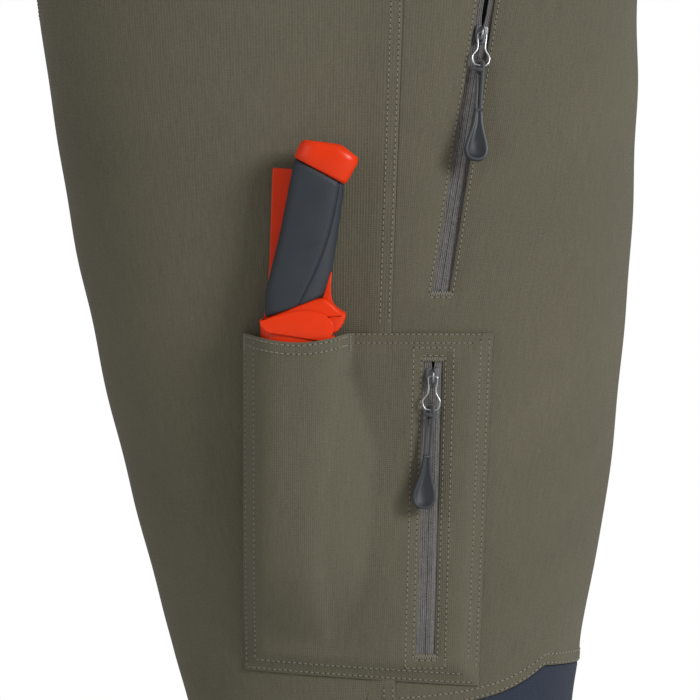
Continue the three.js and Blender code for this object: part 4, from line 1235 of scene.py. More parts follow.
def turn_about_x(angle):
    c, s = math.cos(angle), math.sin(angle)
    return np.array([[1, 0, 0], [0, c, -s], [0, s, c]])


def turn_about_y(angle):
    c, s = math.cos(angle), math.sin(angle)
    return np.array([[c, 0, s], [0, 1, 0], [-s, 0, c]])


class Zip:
    """A zip's own frame: Z along it from its lower end, Y away from the garment, X across.

    place gives the points of the cloth that it lies under. outer is -1 on a leg's inner side.
    """

    def __init__(self, name, side, line, place, outer=1):
        self.name, self.side, self.line = name, side, line
        (x0, h0), (x1, h1) = line["low"], line["high"]
        x, h = (x0 + x1) / 2, (h0 + h1) / 2
        across = place(x + MM, h) - place(x - MM, h)
        up = place(x, h + MM) - place(x, h - MM)
        out = unit(np.cross(across, up)) * outer
        low, high = (place(*end) - out * line["depth"] for end in (line["low"], line["high"]))
        along_way = unit(high - low)
        across = unit(np.cross(out, along_way))
        self.axes = np.stack([across, np.cross(along_way, across), along_way])
        self.low, self.length = low, float(np.linalg.norm(high - low))
        self.plumb = math.atan2(x1 - x0, h1 - h0) - PULL_SWAY

    def row_frame(self, points):
        return to_row(mirrored(self.low + np.asarray(points, float) @ self.axes, self.side))

    def pull_frame(self, points, turn):
        """Points hung from the slider's pivot: -Z hangs down and Y points away from the garment."""
        hung = np.asarray(points, float) @ (turn_about_y(turn) @ turn_about_x(self.line["lean"])).T
        return self.row_frame(hung + PIVOT + (0, 0, self.line["slider_at"]))


def make_tapes(zip_, past, gape, step):
    """Both halves of the zip: tape with ribs of coil along the middle, parted by gape above the slider."""
    across = np.r_[0.12, np.arange(0.3, 3.5, 0.17), 3.9, 4.8, 6.5, 9, 11.5, 12.8, 13] * MM
    z = np.arange(-past, zip_.length + past + step / 2, step)[:, None]
    slider_top = zip_.line["slider_at"] + 5 * MM
    for half, way, node in (("front", -1, "zip_front_half"), ("rear", 1, "zip_rear_half")):
        ribbed = ease((3.4 * MM - across) / (0.4 * MM) + 0.5)
        rib = np.abs(np.sin(math.pi * across / (1.05 * MM)))
        beat = np.cos(2 * math.pi * (z / (1.5 * MM) + 0.45 * across / MM))
        face = 0.4 * MM + ribbed * (0.06 + 0.5 * rib * (1 + 0.35 * beat) + 0.05 * beat) * MM
        back = -0.4 * MM - ribbed * 0.45 * MM
        parted = gape * ease((z - slider_top) / (12 * MM)) * (1 - clamp(across / (9 * MM)))
        x = way * (across + parted)
        grids = [zip_.low + np.stack(np.broadcast_arrays(x, y, z), -1) @ zip_.axes for y in (face, back)]
        tape, _ = cloth_sheet(f"{zip_.name}_{half}_tape", *grids, side=zip_.side)
        finished(tape, "tape", "zip_tape", f"{zip_.name}_{node}")


def inset(outline, by):
    """A closed outline moved inwards by a distance."""
    ahead, behind = np.roll(outline, -1, 0), np.roll(outline, 1, 0)
    way = unit(ahead - behind)
    normal = np.stack([-way[:, 1], way[:, 0]], 1)
    area = np.sum(outline[:, 0] * ahead[:, 1] - ahead[:, 0] * outline[:, 1])
    return outline + normal * by * (1 if area > 0 else -1)


def plate_form(outline, levels):
    """A closed form from an outline in XZ: levels are (inset, y), from its back to its front."""
    outline = np.asarray(outline, float)
    count = len(outline)
    vertices = []
    for by, y in levels:
        flat = inset(outline, by)
        vertices.append(np.stack([flat[:, 0], np.full(count, y), flat[:, 1]], 1))
    return np.concatenate(vertices), skin_faces(len(levels), count)


def rounded_levels(half, radius, steps=4):
    """Levels of a plate whose edges are rounded."""
    turn = np.linspace(0, math.pi / 2, steps + 1)
    back = [(radius * (1 - math.sin(a)), -half + radius * (1 - math.cos(a))) for a in turn]
    return back + [(by, -y) for by, y in reversed(back)]


def softened(corners, radius, steps=4):
    """A closed outline with its corners rounded."""
    corners = np.asarray(corners, float)
    points = []
    for before, corner, after in zip(np.roll(corners, 1, 0), corners, np.roll(corners, -1, 0)):
        a, b = before - corner, after - corner
        reach = min(radius, 0.45 * np.linalg.norm(a), 0.45 * np.linalg.norm(b))
        start, end = corner + unit(a) * reach, corner + unit(b) * reach
        for t in np.linspace(0, 1, steps + 1):
            points.append((1 - t) ** 2 * start + 2 * t * (1 - t) * corner + t**2 * end)
    return np.array(points)


def make_slider(zip_):
    """Two shield-shaped plates on a web, with a bridge over the pull's wire."""
    right = [(1.9, 0), (3.2, 3), (3.6, 7), (3.1, 9.6), (1.2, 10)]
    left = [(-x, z) for x, z in right]
    shield = MM * np.array([left[0], *right, (0, 9.1), *left[:0:-1]])
    bundle = Bundle()
    thick = (SLIDER_PLATE_OUT - SLIDER_PLATE_IN) / 2
    for way in (1, -1):
        vertices, faces = plate_form(softened(shield, 1 * MM), rounded_levels(thick, 0.35 * MM))
        vertices[:, 1] += way * (SLIDER_PLATE_IN + thick)
        bundle.add(vertices, faces)
    web = MM * np.array([(-0.2, 4), (0.2, 4), (0.2, 9), (-0.2, 9)])
    bundle.add(*plate_form(web, [(0, -SLIDER_PLATE_IN), (0, SLIDER_PLATE_IN)]))
    # the bridge's middle line, as how far out it stands and how far up the slider it is
    bridge = [(2.0, 1.2), (4.6, 1.6), (6.3, 3.2), (6.5, 5.2), (5.9, 7.4), (3.6, 8.6), (2.0, 8.8)]
    line = MM * np.array([(0, y, z) for y, z in bridge])
    bundle.add(*tube(curve_through(line, 5), 1.15 * MM, 8, flat=0.55))
    for part in range(len(bundle.vertices)):
        bundle.vertices[part] = zip_.row_frame(bundle.vertices[part] + (0, 0, zip_.line["slider_at"]))
    name = zip_.name
    slider = bundle.piece(f"{name}_slider_body")
    finished(slider, "gun", "plated_steel", f"{name}_zip_slider", body=f"{name}_slider")


def bail_points(length, ring):
    """A keyhole of wire: narrow at the slider's bridge, and widening to a round eye."""
    neck = 2.3 * MM
    half = [(neck - 0.5 * MM, 0.1 * MM), (neck, -1.2 * MM), (neck - 0.2 * MM, -length * 0.45)]
    half += [(ring, -length + ring * 1.15), (ring * 0.74, -length + ring * 0.28)]
    points = [(0, 0.4 * MM), *half, (0, -length + WIRE / 2), *[(-x, z) for x, z in reversed(half)]]
    return curve_through([(x, 0, z) for x, z in points], 8, closed=True)


def braid(line, radius):
    """A plaited cord: a tube whose skin rises and falls in two crossing spirals."""
    sides, pitch = 12, 1.7 * MM
    vertices, faces = tube(line, radius, sides)
    around = 2 * np.tile(np.linspace(0, 2 * math.pi, sides, endpoint=False), len(line))
    onward = np.repeat(line_lengths(line), sides) * 2 * math.pi / pitch
    swell = 0.07 * (np.abs(np.sin(around + onward)) + np.abs(np.sin(around - onward))) - 0.09
    centres = np.repeat(line, sides, axis=0)
    return centres + (vertices - centres) * (1 + swell)[:, None], faces


def make_hanging_pull(zip_):
    """Keyhole bail, plaited cord knotted into it, and the moulded end."""
    turn, name = zip_.plumb, zip_.name
    wire, faces = tube(bail_points(BAIL_LENGTH, BAIL_RING), WIRE / 2, 10, closed=True)
    body = f"{name}_hanging_pull"
    bail = Bundle()
    bail.add(zip_.pull_frame(wire, turn), faces)
    finished(bail.piece(f"{name}_bail_wire"), "steel", "plated_steel", f"{name}_zip_bail", body=body)

    spread, top = 1.25 * MM, -BAIL_LENGTH + WIRE / 2
    clear = (CORD + WIRE) / 2 + 0.1 * MM
    loop = [
        (-spread, 0, -PULL_TOP - 1 * MM),
        (-spread, 0.3 * MM, -PULL_TOP + 8 * MM),
        (-spread, clear * 0.8, top - 4.5 * MM),
        (-spread * 1.1, clear, top - 1.5 * MM),
        (-spread * 0.8, clear * 0.7, top + 1.6 * MM),
        (0, 0, top + clear + 0.3 * MM),
        (spread * 0.8, -clear * 0.7, top + 1.6 * MM),
        (spread * 1.1, -clear, top - 1.5 * MM),
        (spread, -clear * 0.6, top - 4.5 * MM),
        (spread, -0.3 * MM, -PULL_TOP + 8 * MM),
        (spread, 0, -PULL_TOP - 1 * MM),
    ]
    # the knot: a turn of cord round both strands, tilted a little
    turns = np.linspace(0, 2 * math.pi, 18, endpoint=False)
    height = top - 3.4 * MM + 0.7 * MM * np.sin(turns + 0.6)
    collar = np.stack([2.3 * MM * np.cos(turns), 1.75 * MM * np.sin(turns), height], 1)
    cord = Bundle()
    vertices, faces = braid(curve_through(loop, 10), CORD / 2)
    cord.add(zip_.pull_frame(vertices, turn), faces)
    vertices, faces = tube(collar, CORD / 2 * 0.92, 10, closed=True)
    cord.add(zip_.pull_frame(vertices, turn), faces)
    finished(cord.piece(f"{name}_plaited_cord"), "cord", "pull_cord", f"{name}_zip_cord", body=body)

    # how wide each half of the moulded end is, going down it
    shape = [(2.1, 0), (2.4, 4), (3.1, 9), (4.4, 14), (5.7, 18.5), (6.2, 21.5), (5.9, 24.3), (4.6, 26.8)]
    right = curve_through(MM * np.array([(x, z, 0) for x, z in (*shape, (2.4, 28.2))]), 4)[:, :2]
    outline = np.vstack([right, [[0, 28.5 * MM]], right[::-1] * (-1, 1)])
    outline[:, 1] = -PULL_TOP - outline[:, 1]
    thick = 2.1 * MM
    rim = [(0.9 * MM, 0.75), (0.35 * MM, 0.95), (0, 0.6), (0, -0.6), (0.35 * MM, -0.95), (0.9 * MM, -0.75)]
    levels = [(1.5 * MM, -thick * 0.55), (1.2 * MM, -thick * 0.9), *[(by, -thick * y) for by, y in rim]]
    levels += [(1.2 * MM, thick * 0.9), (1.5 * MM, thick * 0.55)]
    vertices, faces = plate_form(outline, levels)
    end = Bundle()
    end.add(zip_.pull_frame(vertices, turn), faces)
    end.numbers[-2:] = [1, 1]  # its two flat faces
    # rim and sides take the lighter colour, a painted highlight; the two flat faces keep the pull's own dark
    # colour
    moulded_end = end.piece(f"{name}_moulded_end", material("pull_rim_painted_highlight"), material("pull"))
    finished(moulded_end, None, "pull_rubber", f"{name}_zip_pull", body=body)


def make_ring(zip_):
    """The plain wire pull of a leg zip."""
    name = zip_.name
    wire, faces = tube(bail_points(BAIL_LENGTH * 1.35, BAIL_RING * 0.9), WIRE / 2, 10, closed=True)
    ring = Bundle()
    ring.add(zip_.pull_frame(wire, 0), faces)
    body = f"{name}_hanging_pull"
    finished(ring.piece(f"{name}_pull_wire"), "steel", "plated_steel", f"{name}_zip_ring", body=body)


def hip_zip(side):
    return Zip(f"hip_{side}", side, HIP_ZIP, face_point)


def leg_zip(side):
    return Zip(f"leg_{side}", side, LEG_ZIP, lambda x, h: surface(angle_at(x, h, -1), h), -1)


def cargo_zip():
    return Zip("cargo", "r", CARGO_ZIP, pocket_point)


# ---------- knife ----------
class Knife:
    """The knife's own frame: Z up its handle from the sheath's mouth, X to the edge side, -Y off the leg."""

    def __init__(self):
        self.turn = (turn_about_x(KNIFE_LEAN) @ turn_about_y(KNIFE_TILT)).T
        self.origin = face_point(KNIFE_AT[0], KNIFE_AT[1], KNIFE_AWAY)

    def row_frame(self, points):
        return to_row(np.asarray(points, float) @ self.turn + self.origin)

    def add(self, bundle, vertices, faces, number=0):
        bundle.add(self.row_frame(vertices), faces, number)


def oval_between(left, right, depth, sides, power=2.5):
    """A ring from a left to a right point in XZ, as deep as depth to each side of the plane."""
    c, s = unit_section(np.linspace(0, 360, sides, endpoint=False), power)
    centre, half = (left + right) / 2, (right - left) / 2
    flat = centre + c[:, None] * half
    return np.stack([flat[:, 0], depth * s, flat[:, 1]], 1)


def loft_form(rings):
    return np.concatenate(rings), skin_faces(len(rings), len(rings[0]))


def smooth_line(points, count):
    """Evenly spaced points of a smooth line through points given in millimetres."""
    line = curve_through(MM * np.asarray(points, float), 12)
    return spread_along(line, np.linspace(0, run_length(line), count))


def make_grip(knife):
    """Soft grip: rounded, a little thinner in its middle, with one groove that runs down its face."""
    count, sides = 90, 180
    spine = [(-18.6, 8), (-20, 21.7), (-19.2, 33.6), (-17.6, 53.5), (-16.7, 77), (-16.1, 93.6)]
    belly = [(10.6, 24.4), (12.6, 35), (12.8, 48), (12.6, 66), (12.4, 83.6)]
    left, right = smooth_line(spine, count), smooth_line(belly, count)
    share = np.linspace(0, 1, count)
    depth = (9.6 - 0.9 * np.sin(math.pi * share)) * MM
    shrink = np.minimum(1, 0.93 + 0.07 * np.sqrt(clamp(np.minimum(share, 1 - share) * count / 3)))
    # the groove's place across the face, from -1 to 1, and its depth and half width
    groove_at = 2 * (0.56 + 0.32 * (1 - (1 - share) ** 2.2)) - 1
    groove_depth, groove_half = 1.1 * MM, 0.04
    rings = []
    for k in range(count):
        ring = oval_between(left[k], right[k], depth[k] * shrink[k], sides, 2.7)
        middle = ring.mean(0)
        ring = middle + (ring - middle) * shrink[k]
        across = (ring[:, 0] - middle[0]) / ((right[k] - left[k])[0] / 2)
        groove = np.exp(-(((across - groove_at[k]) / groove_half) ** 2)) * (ring[:, 1] < 0)
        ring[:, 1] += groove_depth * groove
        rings.append(ring)
    bundle = Bundle()
    knife.add(bundle, *loft_form(rings))
    finished(bundle.piece("soft_grip"), "grip", "grip_rubber", "knife_grip", body="knife")


def make_core(knife):
    """Butt cap, stem inside the grip, and guard with its finger rest."""
    bundle = Bundle()
    # the butt cap's left and right edge and half depth, going up
    stations = (
        ((-15.9, 93.9), (12.3, 84.1), 9.0),
        ((-16.2, 94.6), (13.4, 85.6), 9.9),
        ((-15.6, 97.5), (17.2, 96.0), 10.0),
        ((-14.6, 101), (17.0, 98.8), 10.0),
        ((-13.6, 102.9), (9.0, 103.4), 9.4),
        ((-12.4, 103.8), (6.2, 104.3), 7.6),
    )
    rings = [oval_between(MM * np.array(a), MM * np.array(b), d * MM, 64, 3.0) for a, b, d in stations]
    knife.add(bundle, *loft_form(rings))
    stem = softened(MM * np.array([(-10, 6), (5, 12), (5, 90), (-10, 94)]), 1 * MM)
    knife.add(bundle, *plate_form(stem, rounded_levels(3.4 * MM, 0.5 * MM)))
    guard_foot = [(-20.4, 4.9), (-6, 4.6), (10, 4.8), (19.4, 5.6), (22.6, 10.5), (23.9, 17.2)]
    guard_top = [(19.5, 18.6), (14.8, 21.9), (11.0, 23.6), (4, 21.6), (-2, 18.9), (-8, 14.4)]
    guard_back = [(-13.5, 10.6), (-18.4, 7.4), (-21.4, 6.5)]
    outline = softened(MM * np.array(guard_foot + guard_top + guard_back), 2.2 * MM, 5)
    knife.add(bundle, *plate_form(outline, rounded_levels(8 * MM, 2.6 * MM, 6)))
    spur = [(9.5, 20), (16.5, 20), (14.2, 25), (13.2, 30), (12.7, 37.4), (12.1, 37.4), (11, 30)]
    knife.add(bundle, *plate_form(MM * np.array(spur), rounded_levels(4.5 * MM, 0.25 * MM, 2)))
    # a raised rib that sweeps over the guard to the finger rest
    count, taper = 30, 0.25
    rib = smooth_line([(-3, 15.5), (4, 12.2), (12, 11.4), (19, 13.6), (22, 16.6)], count)
    rib = np.stack([rib[:, 0], np.full(count, -7.7 * MM), rib[:, 1]], 1)
    knife.add(bundle, *tube(rib, 0.9 * MM * np.sin(np.linspace(taper, math.pi - taper, count)), 10))
    finished(bundle.piece("knife_core_moulding"), "orange", "orange_plastic", "knife_core", body="knife")


def make_blade(knife):
    """Clip-point blade with its ground bevel, and the tang that the core is moulded round."""
    spine = [(-8, 3.4), (-7.6, -20), (-7, -40), (-5.4, -58), (-3, -70), (3, -88), (11, -100)]
    edge = [(12.3, -84), (12.5, -70), (12.5, -40), (12, 3.4)]
    outline = np.vstack([smooth_line(spine, 30), smooth_line(edge, 20)])
    bundle = Bundle()
    levels = [(3.4 * MM, -1 * MM), (0.2 * MM, -0.25 * MM), (0.2 * MM, 0.25 * MM), (3.4 * MM, 1 * MM)]
    knife.add(bundle, *plate_form(outline, levels))
    tang = softened(MM * np.array([(-4.6, 1), (4.6, 1), (4.6, 69), (-4.6, 69)]), 1 * MM)
    knife.add(bundle, *plate_form(tang, rounded_levels(0.95 * MM, 0.2 * MM)))
    finished(bundle.piece("blade_and_tang"), "blade", "blade_steel", "knife_blade", body="knife")


def make_sheath(knife):
    """Moulded sheath, open at its mouth, with a lip in front and a belt clip behind."""
    mouth, toe = 4.2, -SHEATH_LENGTH / MM
    # height, middle, half width and half depth: up the outside, and down the inside
    outer = [(toe, 12, 7, 4.2), (toe + 3, 11.6, 9, 5.4), (-104, 10, 12, 6.4), (-70, 6, 14, 7.4)]
    outer += [(-12, 0.5, 17.5, 8.6), (2, -0.4, 19.6, 8.8), (mouth, -0.5, 20, 8.7)]
    inner = [(mouth, -0.5, 16.4, 4.2), (-12, 0.5, 14.5, 3.2), (-70, 6, 11, 2.7), (toe + 5, 11, 5, 1.9)]
    rings = []
    for z, x, half, deep in outer + inner:
        ends = MM * np.array([(x - half, z), (x + half, z)])
        rings.append(oval_between(*ends, deep * MM, 48, 2.6))
    bundle = Bundle()
    knife.add(bundle, *loft_form(rings))
    lip = [(-16, 1), (-20.2, 4.2), (-20.6, 6.4), (-14, 9.4), (-8, 12.4), (-1, 15), (6, 16), (12, 15.2)]
    lip += [(17.5, 11.5), (18.6, 7), (16, 1)]
    clip = [(-18, -14), (-4, -14), (-3, 88), (-26.8, 86.5), (-20.2, 33)]
    bridge = [(-15, -14), (-3, -14), (-3, -3), (-15, -3)]
    # each plate's outline, its corners' radius, half its thickness, its edges' radius and how far in it lies
    plates = (
        (lip, 1.6, 0.75, 0.4, -9.1),
        (clip, 1.5, 0.8, 0.45, 11.2),
        (bridge, 1, 3.4, 0.5, 8.4),
    )
    for corners, corner_radius, half, radius, into in plates:
        outline = softened(MM * np.array(corners), corner_radius * MM)
        vertices, faces = plate_form(outline, rounded_levels(half * MM, radius * MM))
        vertices[:, 1] += into * MM
        knife.add(bundle, vertices, faces)
    finished(bundle.piece("moulded_sheath"), "orange", "orange_plastic", "knife_sheath", body="sheath")


# ---------- belt ----------
BELT_WIDTH = 38 * MM
BELT = 1.8 * MM
BELT_MIDDLE = 0.5 * MM + 0.4 * MM + BELT / 2  # of the first layer, out from the waist
BELT_SECOND = BELT_MIDDLE + BELT + 0.4 * MM
BAR = 29 * MM  # the buckle's bars, either side of the middle
FOLD = 3.4 * MM  # of the webbing round a bar
RUN = WAIST_DEPTH / 2 + BELT_MIDDLE


def belt_path(start, end, outside):
    """The belt's line round the waist between two angles."""
    angles = np.arange(start, end, 2.0 if end > start else -2.0)
    return offset(waist_point, np.r_[angles, end], WAIST_HEIGHT, -outside)[:, :2]


def fold_round(way):
    """The webbing's turn round one bar of the buckle, and its tail behind."""
    around = np.radians(np.linspace(-90, 90, 9))
    turn = np.stack([RUN + FOLD + FOLD * np.sin(around), way * (BAR - FOLD * np.cos(around))], 1)
    tail = [(RUN + 1.7 * FOLD, way * (BAR + 6 * MM)), (RUN + 0.9 * FOLD, way * (BAR + 13 * MM))]
    return np.vstack([turn, tail])


def make_ribbon(name, path, node, body, thickness=BELT, width=BELT_WIDTH, middle=WAIST_HEIGHT):
    """Webbing on edge along a path in XY, with rounded selvedges and the woven webbing finish."""
    length = run_length(path)
    path = spread_along(path, np.linspace(0, length, max(12, int(length / (2 * MM)))))
    way = unit(np.gradient(path, axis=0))
    normal = np.stack([-way[:, 1], way[:, 0]], 1)
    up = places(width, 1.5 * MM, thickness)
    rim = np.minimum(up, width - up)
    thin = thickness / 2 * np.maximum(0.3, folded(rim, thickness / 2))
    grids = []
    for sign in (1, -1):
        flat = path[None] + sign * normal[None] * thin[:, None, None]
        height = np.broadcast_to((middle - width / 2 + up)[:, None, None], (*flat.shape[:2], 1))
        grids.append(np.concatenate([flat, height], -1))
    obj, _ = cloth_sheet(name, *grids)
    return finished(obj, "webbing", "webbing", node, body=body)


def make_belt():
    """The belt's long run and its free end, each folded round its half of the buckle, and the loops."""
    doubled, whole = belt_path(36, 20, BELT_SECOND), belt_path(12, 348, BELT_MIDDLE)
    run = np.vstack([doubled, fold_round(-1)[::-1], whole, [(RUN, 20 * MM)]])
    make_ribbon("belt_run", run, "belt_webbing", BODY)
    tail = np.vstack([fold_round(1)[2:], belt_path(340, 316, BELT_SECOND)])
    make_ribbon("belt_free_end", tail, "belt_tail", "buckle_prongs")
    for name, angle in (("rf", 52), ("rs", 92), ("lf", 308), ("ls", 268)):
        make_belt_loop(name, angle)


def make_belt_loop(name, angle):
    """A loop of folded cloth over the belt, bar-tacked to the waistband above and below."""
    sewn, over = 0.9 * MM, BELT_MIDDLE + BELT / 2 + 0.4 * MM
    wide, degrees, fold = 9.2 * MM, 4, 0.8 * MM
    # height, and 1 where the loop stands over the belt
    rows = np.array([(-24, 0), (-20.4, 0), (-19.4, 1), (0, 1), (19.4, 1), (20.4, 0), (24, 0)])
    up = curve_through(np.c_[rows[:, 0] * MM, sewn + rows[:, 1] * (over - sewn), np.zeros(len(rows))], 8)
    across = places(wide, 1 * MM, fold) / wide - 0.5
    angles = angle + across * degrees
    rim = np.minimum(across + 0.5, 0.5 - across) * wide
    thin = 0.5 * MM * (1 - np.maximum(0.3, folded(rim, fold)))
    grids = []
    for base, sign in ((1.0 * MM, -1), (0.0, 1)):
        out = up[:, 1][:, None] + base + sign * thin[None, :]
        grids.append(offset(waist_point, angles[None, :], WAIST_HEIGHT + up[:, 0][:, None], -out))
    loop, _ = cloth_sheet(f"belt_loop_cloth_{name}", *grids)
    finished(loop, "olive", "olive_fabric", f"belt_loop_{name}")
    sewing = Sewing(loop)
    for h in (-22.3 * MM, 22.3 * MM):
        ends = offset(waist_point, angle + np.array([-1.7, 1.7]), WAIST_HEIGHT + h, -2 * MM)
        way = outward(waist_point, np.array(float(angle)), np.array(WAIST_HEIGHT))
        sewing.bar_tack(*to_row(ends), way)
    for aside in (-1.5, 1.5):
        heights = WAIST_HEIGHT + np.linspace(-19, 19, 20) * MM
        points = to_row(offset(waist_point, angle + aside, heights, -over))
        ways = outward(waist_point, np.full(20, angle + aside), heights)
        sewing.row(points, ways)
    sewing.piece(f"belt_loop_stitches_{name}", "thread_olive", "olive_fabric")


def keep_with_soft_edges(node, material_name, width=0.7 * MM):
    """A part of the frame that shows as it is, with its sharp edges eased and a finish."""
    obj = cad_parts[node]
    edge = obj.modifiers.new("eased", "BEVEL")
    edge.width, edge.segments, edge.limit_method, edge.angle_limit = width, 3, "ANGLE", math.radians(40)
    edge.harden_normals = True
    obj.data.materials.clear()
    obj.data.materials.append(material(material_name))
    return obj


def make_front_link():
    """Short strap between the legs in front, sewn down at both ends."""
    low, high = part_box("front_link_strap")
    middle = WAIST_HEIGHT + (low.z + high.z) / 2
    path = np.array([((low.x + high.x) / 2, y) for y in np.linspace(low.y, high.y, 24)])
    width = high.z - low.z
    strap = make_ribbon("front_link_webbing", path, "front_link_strap", BODY, 1.6 * MM, width, middle)
    sewing = Sewing(strap)
    for way in (-1, 1):
        for inset_by in (2.5 * MM, 8 * MM):
            y = way * (high.y - inset_by)
            ends = np.array([(high.x, y, low.z + 2.5 * MM), (high.x, y, high.z - 2.5 * MM)])
            sewing.row(ends, np.array([(1.0, 0, 0)] * 2))
    sewing.piece("front_link_stitches", "thread_black", "webbing")


# ---------- stage ----------
def area_light(name, place, target, energy, size):
    data = bpy.data.lights.new(name, "AREA")
    data.energy, data.size = energy, size
    light = bpy.data.objects.new(name, data)
    bpy.context.scene.collection.objects.link(light)
    light.location = place
    light.rotation_euler = (Vector(target) - Vector(place)).to_track_quat("-Z", "Y").to_euler()


def make_stage():
    """A pale round floor, a world that is white behind the piece, and three soft lights."""
    stage = bpy.context.scene.chaps_stage
    low, _ = CAD_BOX
    floor_mesh = bpy.data.meshes.new("studio_floor")
    floor = bmesh.new()
    bmesh.ops.create_circle(floor, cap_ends=True, radius=3.5, segments=64)
    floor.to_mesh(floor_mesh)
    floor.free()
    ground = bpy.data.objects.new("studio_floor", floor_mesh)
    ground.location = (0, 0, low.z - 2 * MM)
    bpy.context.scene.collection.objects.link(ground)
    pale = Nodes("pale_floor", roughness=0.9)
    pale.tint((0.78, 0.78, 0.77), pale.span(pale.noise((3, 3, 3), False), 0.98, 1.02))
    floor_mesh.materials.append(pale.material)

    world = bpy.data.worlds.new("studio")
    world.use_nodes = True
    back = world.node_tree.nodes["Background"]
    back.inputs["Color"].default_value = (1, 1, 1, 1)
    seen = world.node_tree.nodes.new("ShaderNodeLightPath")
    strength = world.node_tree.nodes.new("ShaderNodeMapRange")
    strength.inputs["To Min"].default_value = stage.sky
    strength.inputs["To Max"].default_value = 1.0
    world.node_tree.links.new(seen.outputs["Is Camera Ray"], strength.inputs["Value"])
    world.node_tree.links.new(strength.outputs["Result"], back.inputs["Strength"])
    bpy.context.scene.world = world
    bpy.context.scene.view_settings.view_transform = "Standard"
    area_light("key", (2.4, -2.1, 0.8), (0, 0, -0.4), stage.key, 1.1)
    area_light("fill", (-2.6, -2.2, 0.3), (0, 0, -0.4), stage.fill, 2.2)
    area_light("back_fill", (-1.2, 2.8, 1.0), (0, 0, -0.4), stage.fill, 2.0)


def make_camera():
    """Square to the wearer's right side, just below the thigh pocket's top."""
    data = bpy.data.cameras.new("camera")
    data.lens, data.sensor_width = 205.8, 36.0
    data.clip_start, data.clip_end = 0.05, 50
    camera = bpy.data.objects.new("camera", data)
    bpy.context.scene.collection.objects.link(camera)
    camera.location = (0, -2.29, -0.36)
    camera.rotation_euler = (math.pi / 2, 0, 0)
    bpy.context.scene.camera = camera


# ---------- settings ----------
def colour(name, description, default):
    return FloatVectorProperty(
        name=name, description=description, default=default, min=0, max=1, subtype="COLOR"
    )


def length(name, description, default):
    return FloatProperty(
        name=name, description=description, default=default, min=0, unit="LENGTH", precision=5
    )


def power(name, description, default):
    return FloatProperty(name=name, description=description, default=default, min=0, unit="POWER")


class ChapsCloth(bpy.types.PropertyGroup):
    olive: colour("Olive", "Outer cloth of the thigh, shin, back and pocket", (0.108, 0.098, 0.068))
    slate: colour("Slate", "Tough cloth of the knee and cuff", (0.026, 0.033, 0.05))
    fibre: colour("Fibre", "Saw-stop pad", (0.66, 0.65, 0.6))
    lining: colour("Lining", "Mesh lining and pocket bags", (0.02, 0.021, 0.019))
    thread: colour("Thread", "Topstitching on the olive cloth", (0.165, 0.15, 0.112))


class ChapsTrim(bpy.types.PropertyGroup):
    tape: colour("Zip tape", "Tape and coil", (0.14, 0.136, 0.13))
    cord: colour("Pull cord", "Plaited cord on the zip pulls", (0.035, 0.037, 0.042))
    pull: colour("Pull face", "Recessed face of a moulded pull", (0.02, 0.022, 0.026))
    # lighter than the face: a painted highlight on the raised rim
    pull_rim_painted_highlight: colour("Pull rim", "Raised rim of a moulded pull", (0.035, 0.039, 0.046))
    grip: colour("Grip", "Soft rubber of the knife's handle", (0.02, 0.025, 0.033))
    orange: colour("Orange", "Core, guard and sheath", (0.68, 0.032, 0.001))
    webbing: colour("Webbing", "Belt and front link", (0.022, 0.023, 0.025))


class ChapsSewing(bpy.types.PropertyGroup):
    stitch: length("Stitch", "Length of a stitch with its gap", 0.0029)
    thread: length("Thread", "Width of the thread on the cloth", 0.00075)
    folds: length("Folds", "How far the cloth waves in and out", 0.0011)


class ChapsStage(bpy.types.PropertyGroup):
    key: power("Key", "Power of the main light", 88.0)
    fill: power("Fill", "Power of the weak lights", 21.0)
    sky: FloatProperty(
        name="Sky",
        description="Strength of the surroundings as a light",
        default=0.38,
        min=0,
        subtype="FACTOR",
    )


# ---------- operators ----------
class CHAPS_OT_stage(bpy.types.Operator):
    """Camera, lights and floor"""

    bl_idname = "chaps.stage"
    bl_label = "Stage"

    def execute(self, context):
        make_camera()
        make_stage()
        return {"FINISHED"}


class CHAPS_OT_legs(bpy.types.Operator):
    """Outer panels of both legs, with their seams"""

    bl_idname = "chaps.legs"
    bl_label = "Legs"

    def execute(self, context):
        edges = leg_edges()
        for side in SIDES:
            sew_leg(side, edges, make_outer_panels(side, edges))
        return {"FINISHED"}


class CHAPS_OT_padding(bpy.types.Operator):
    """Saw-stop pads, linings and hip pocket bags"""

    bl_idname = "chaps.padding"
    bl_label = "Padding"

    def execute(self, context):
        for side in SIDES:
            make_padding(side)
        return {"FINISHED"}


class CHAPS_OT_waistband(bpy.types.Operator):
    """Both halves of the waistband"""

    bl_idname = "chaps.waistband"
    bl_label = "Waistband"

    def execute(self, context):
        for side in SIDES:
            make_waistband(side)
        return {"FINISHED"}


class CHAPS_OT_pocket(bpy.types.Operator):
    """Thigh pocket with its knife sleeve"""

    bl_idname = "chaps.pocket"
    bl_label = "Thigh pocket"

    def execute(self, context):
        make_thigh_pocket()
        return {"FINISHED"}


class CHAPS_OT_zips(bpy.types.Operator):
    """Tapes, sliders and pulls of all five zips"""

    bl_idname = "chaps.zips"
    bl_label = "Zips"

    def execute(self, context):
        for zip_ in (hip_zip("r"), hip_zip("l"), cargo_zip()):
            make_tapes(zip_, 4 * MM, 1.1 * MM, 0.36 * MM)
            make_slider(zip_)
            make_hanging_pull(zip_)
        for side in SIDES:
            zip_ = leg_zip(side)
            make_tapes(zip_, 0, 0, 1.2 * MM)
            make_slider(zip_)
            make_ring(zip_)
        return {"FINISHED"}


class CHAPS_OT_knife(bpy.types.Operator):
    """Knife in its sheath"""

    bl_idname = "chaps.knife"
    bl_label = "Knife"

    def execute(self, context):
        knife = Knife()
        for make in (make_grip, make_core, make_blade, make_sheath):
            make(knife)
        return {"FINISHED"}


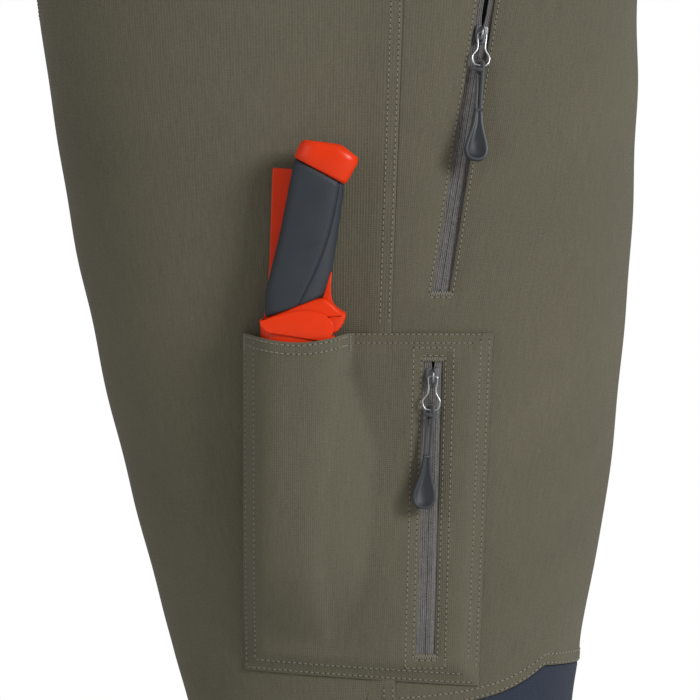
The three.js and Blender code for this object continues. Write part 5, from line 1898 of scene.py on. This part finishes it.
class CHAPS_OT_belt(bpy.types.Operator):
    """Webbing, belt loops and the strap between the legs"""

    bl_idname = "chaps.belt"
    bl_label = "Belt"

    def execute(self, context):
        make_belt()
        make_front_link()
        return {"FINISHED"}


class CHAPS_OT_hardware(bpy.types.Operator):
    """Buckle and boot hooks: the frame's own parts, finished"""

    bl_idname = "chaps.hardware"
    bl_label = "Buckle and hooks"

    def execute(self, context):
        for node in ("buckle_socket", "buckle_plug"):
            keep_with_soft_edges(node, "plastic")
        for side in SIDES:
            keep_with_soft_edges(f"boot_hook_{side}", "steel", 0.3 * MM)
        return {"FINISHED"}


SETTINGS = {"cloth": ChapsCloth, "trim": ChapsTrim, "sewing": ChapsSewing, "stage": ChapsStage}
OPERATORS = (
    CHAPS_OT_stage,
    CHAPS_OT_legs,
    CHAPS_OT_padding,
    CHAPS_OT_waistband,
    CHAPS_OT_pocket,
    CHAPS_OT_zips,
    CHAPS_OT_knife,
    CHAPS_OT_belt,
    CHAPS_OT_hardware,
)


class CHAPS_PT_panel(bpy.types.Panel):
    """Settings and pieces of the chaps"""

    bl_idname = "CHAPS_PT_panel"
    bl_label = "Chainsaw chaps"
    bl_space_type = "VIEW_3D"
    bl_region_type = "UI"
    bl_category = "Chaps"

    def draw(self, context):
        for key, group in SETTINGS.items():
            box = self.layout.box()
            for name in group.__annotations__:
                box.prop(getattr(context.scene, f"chaps_{key}"), name)
        for operator in OPERATORS:
            self.layout.operator(operator.bl_idname)


def register():
    for cls in (*SETTINGS.values(), *OPERATORS, CHAPS_PT_panel):
        bpy.utils.register_class(cls)
    for key, group in SETTINGS.items():
        setattr(bpy.types.Scene, f"chaps_{key}", PointerProperty(type=group))


def unregister():
    for key in SETTINGS:
        delattr(bpy.types.Scene, f"chaps_{key}")
    for cls in (CHAPS_PT_panel, *reversed(OPERATORS), *SETTINGS.values()):
        bpy.utils.unregister_class(cls)


def main():
    register()
    for operator in OPERATORS:
        getattr(bpy.ops.chaps, operator.bl_idname.split(".")[1])()


if __name__ == "__main__":
    main()
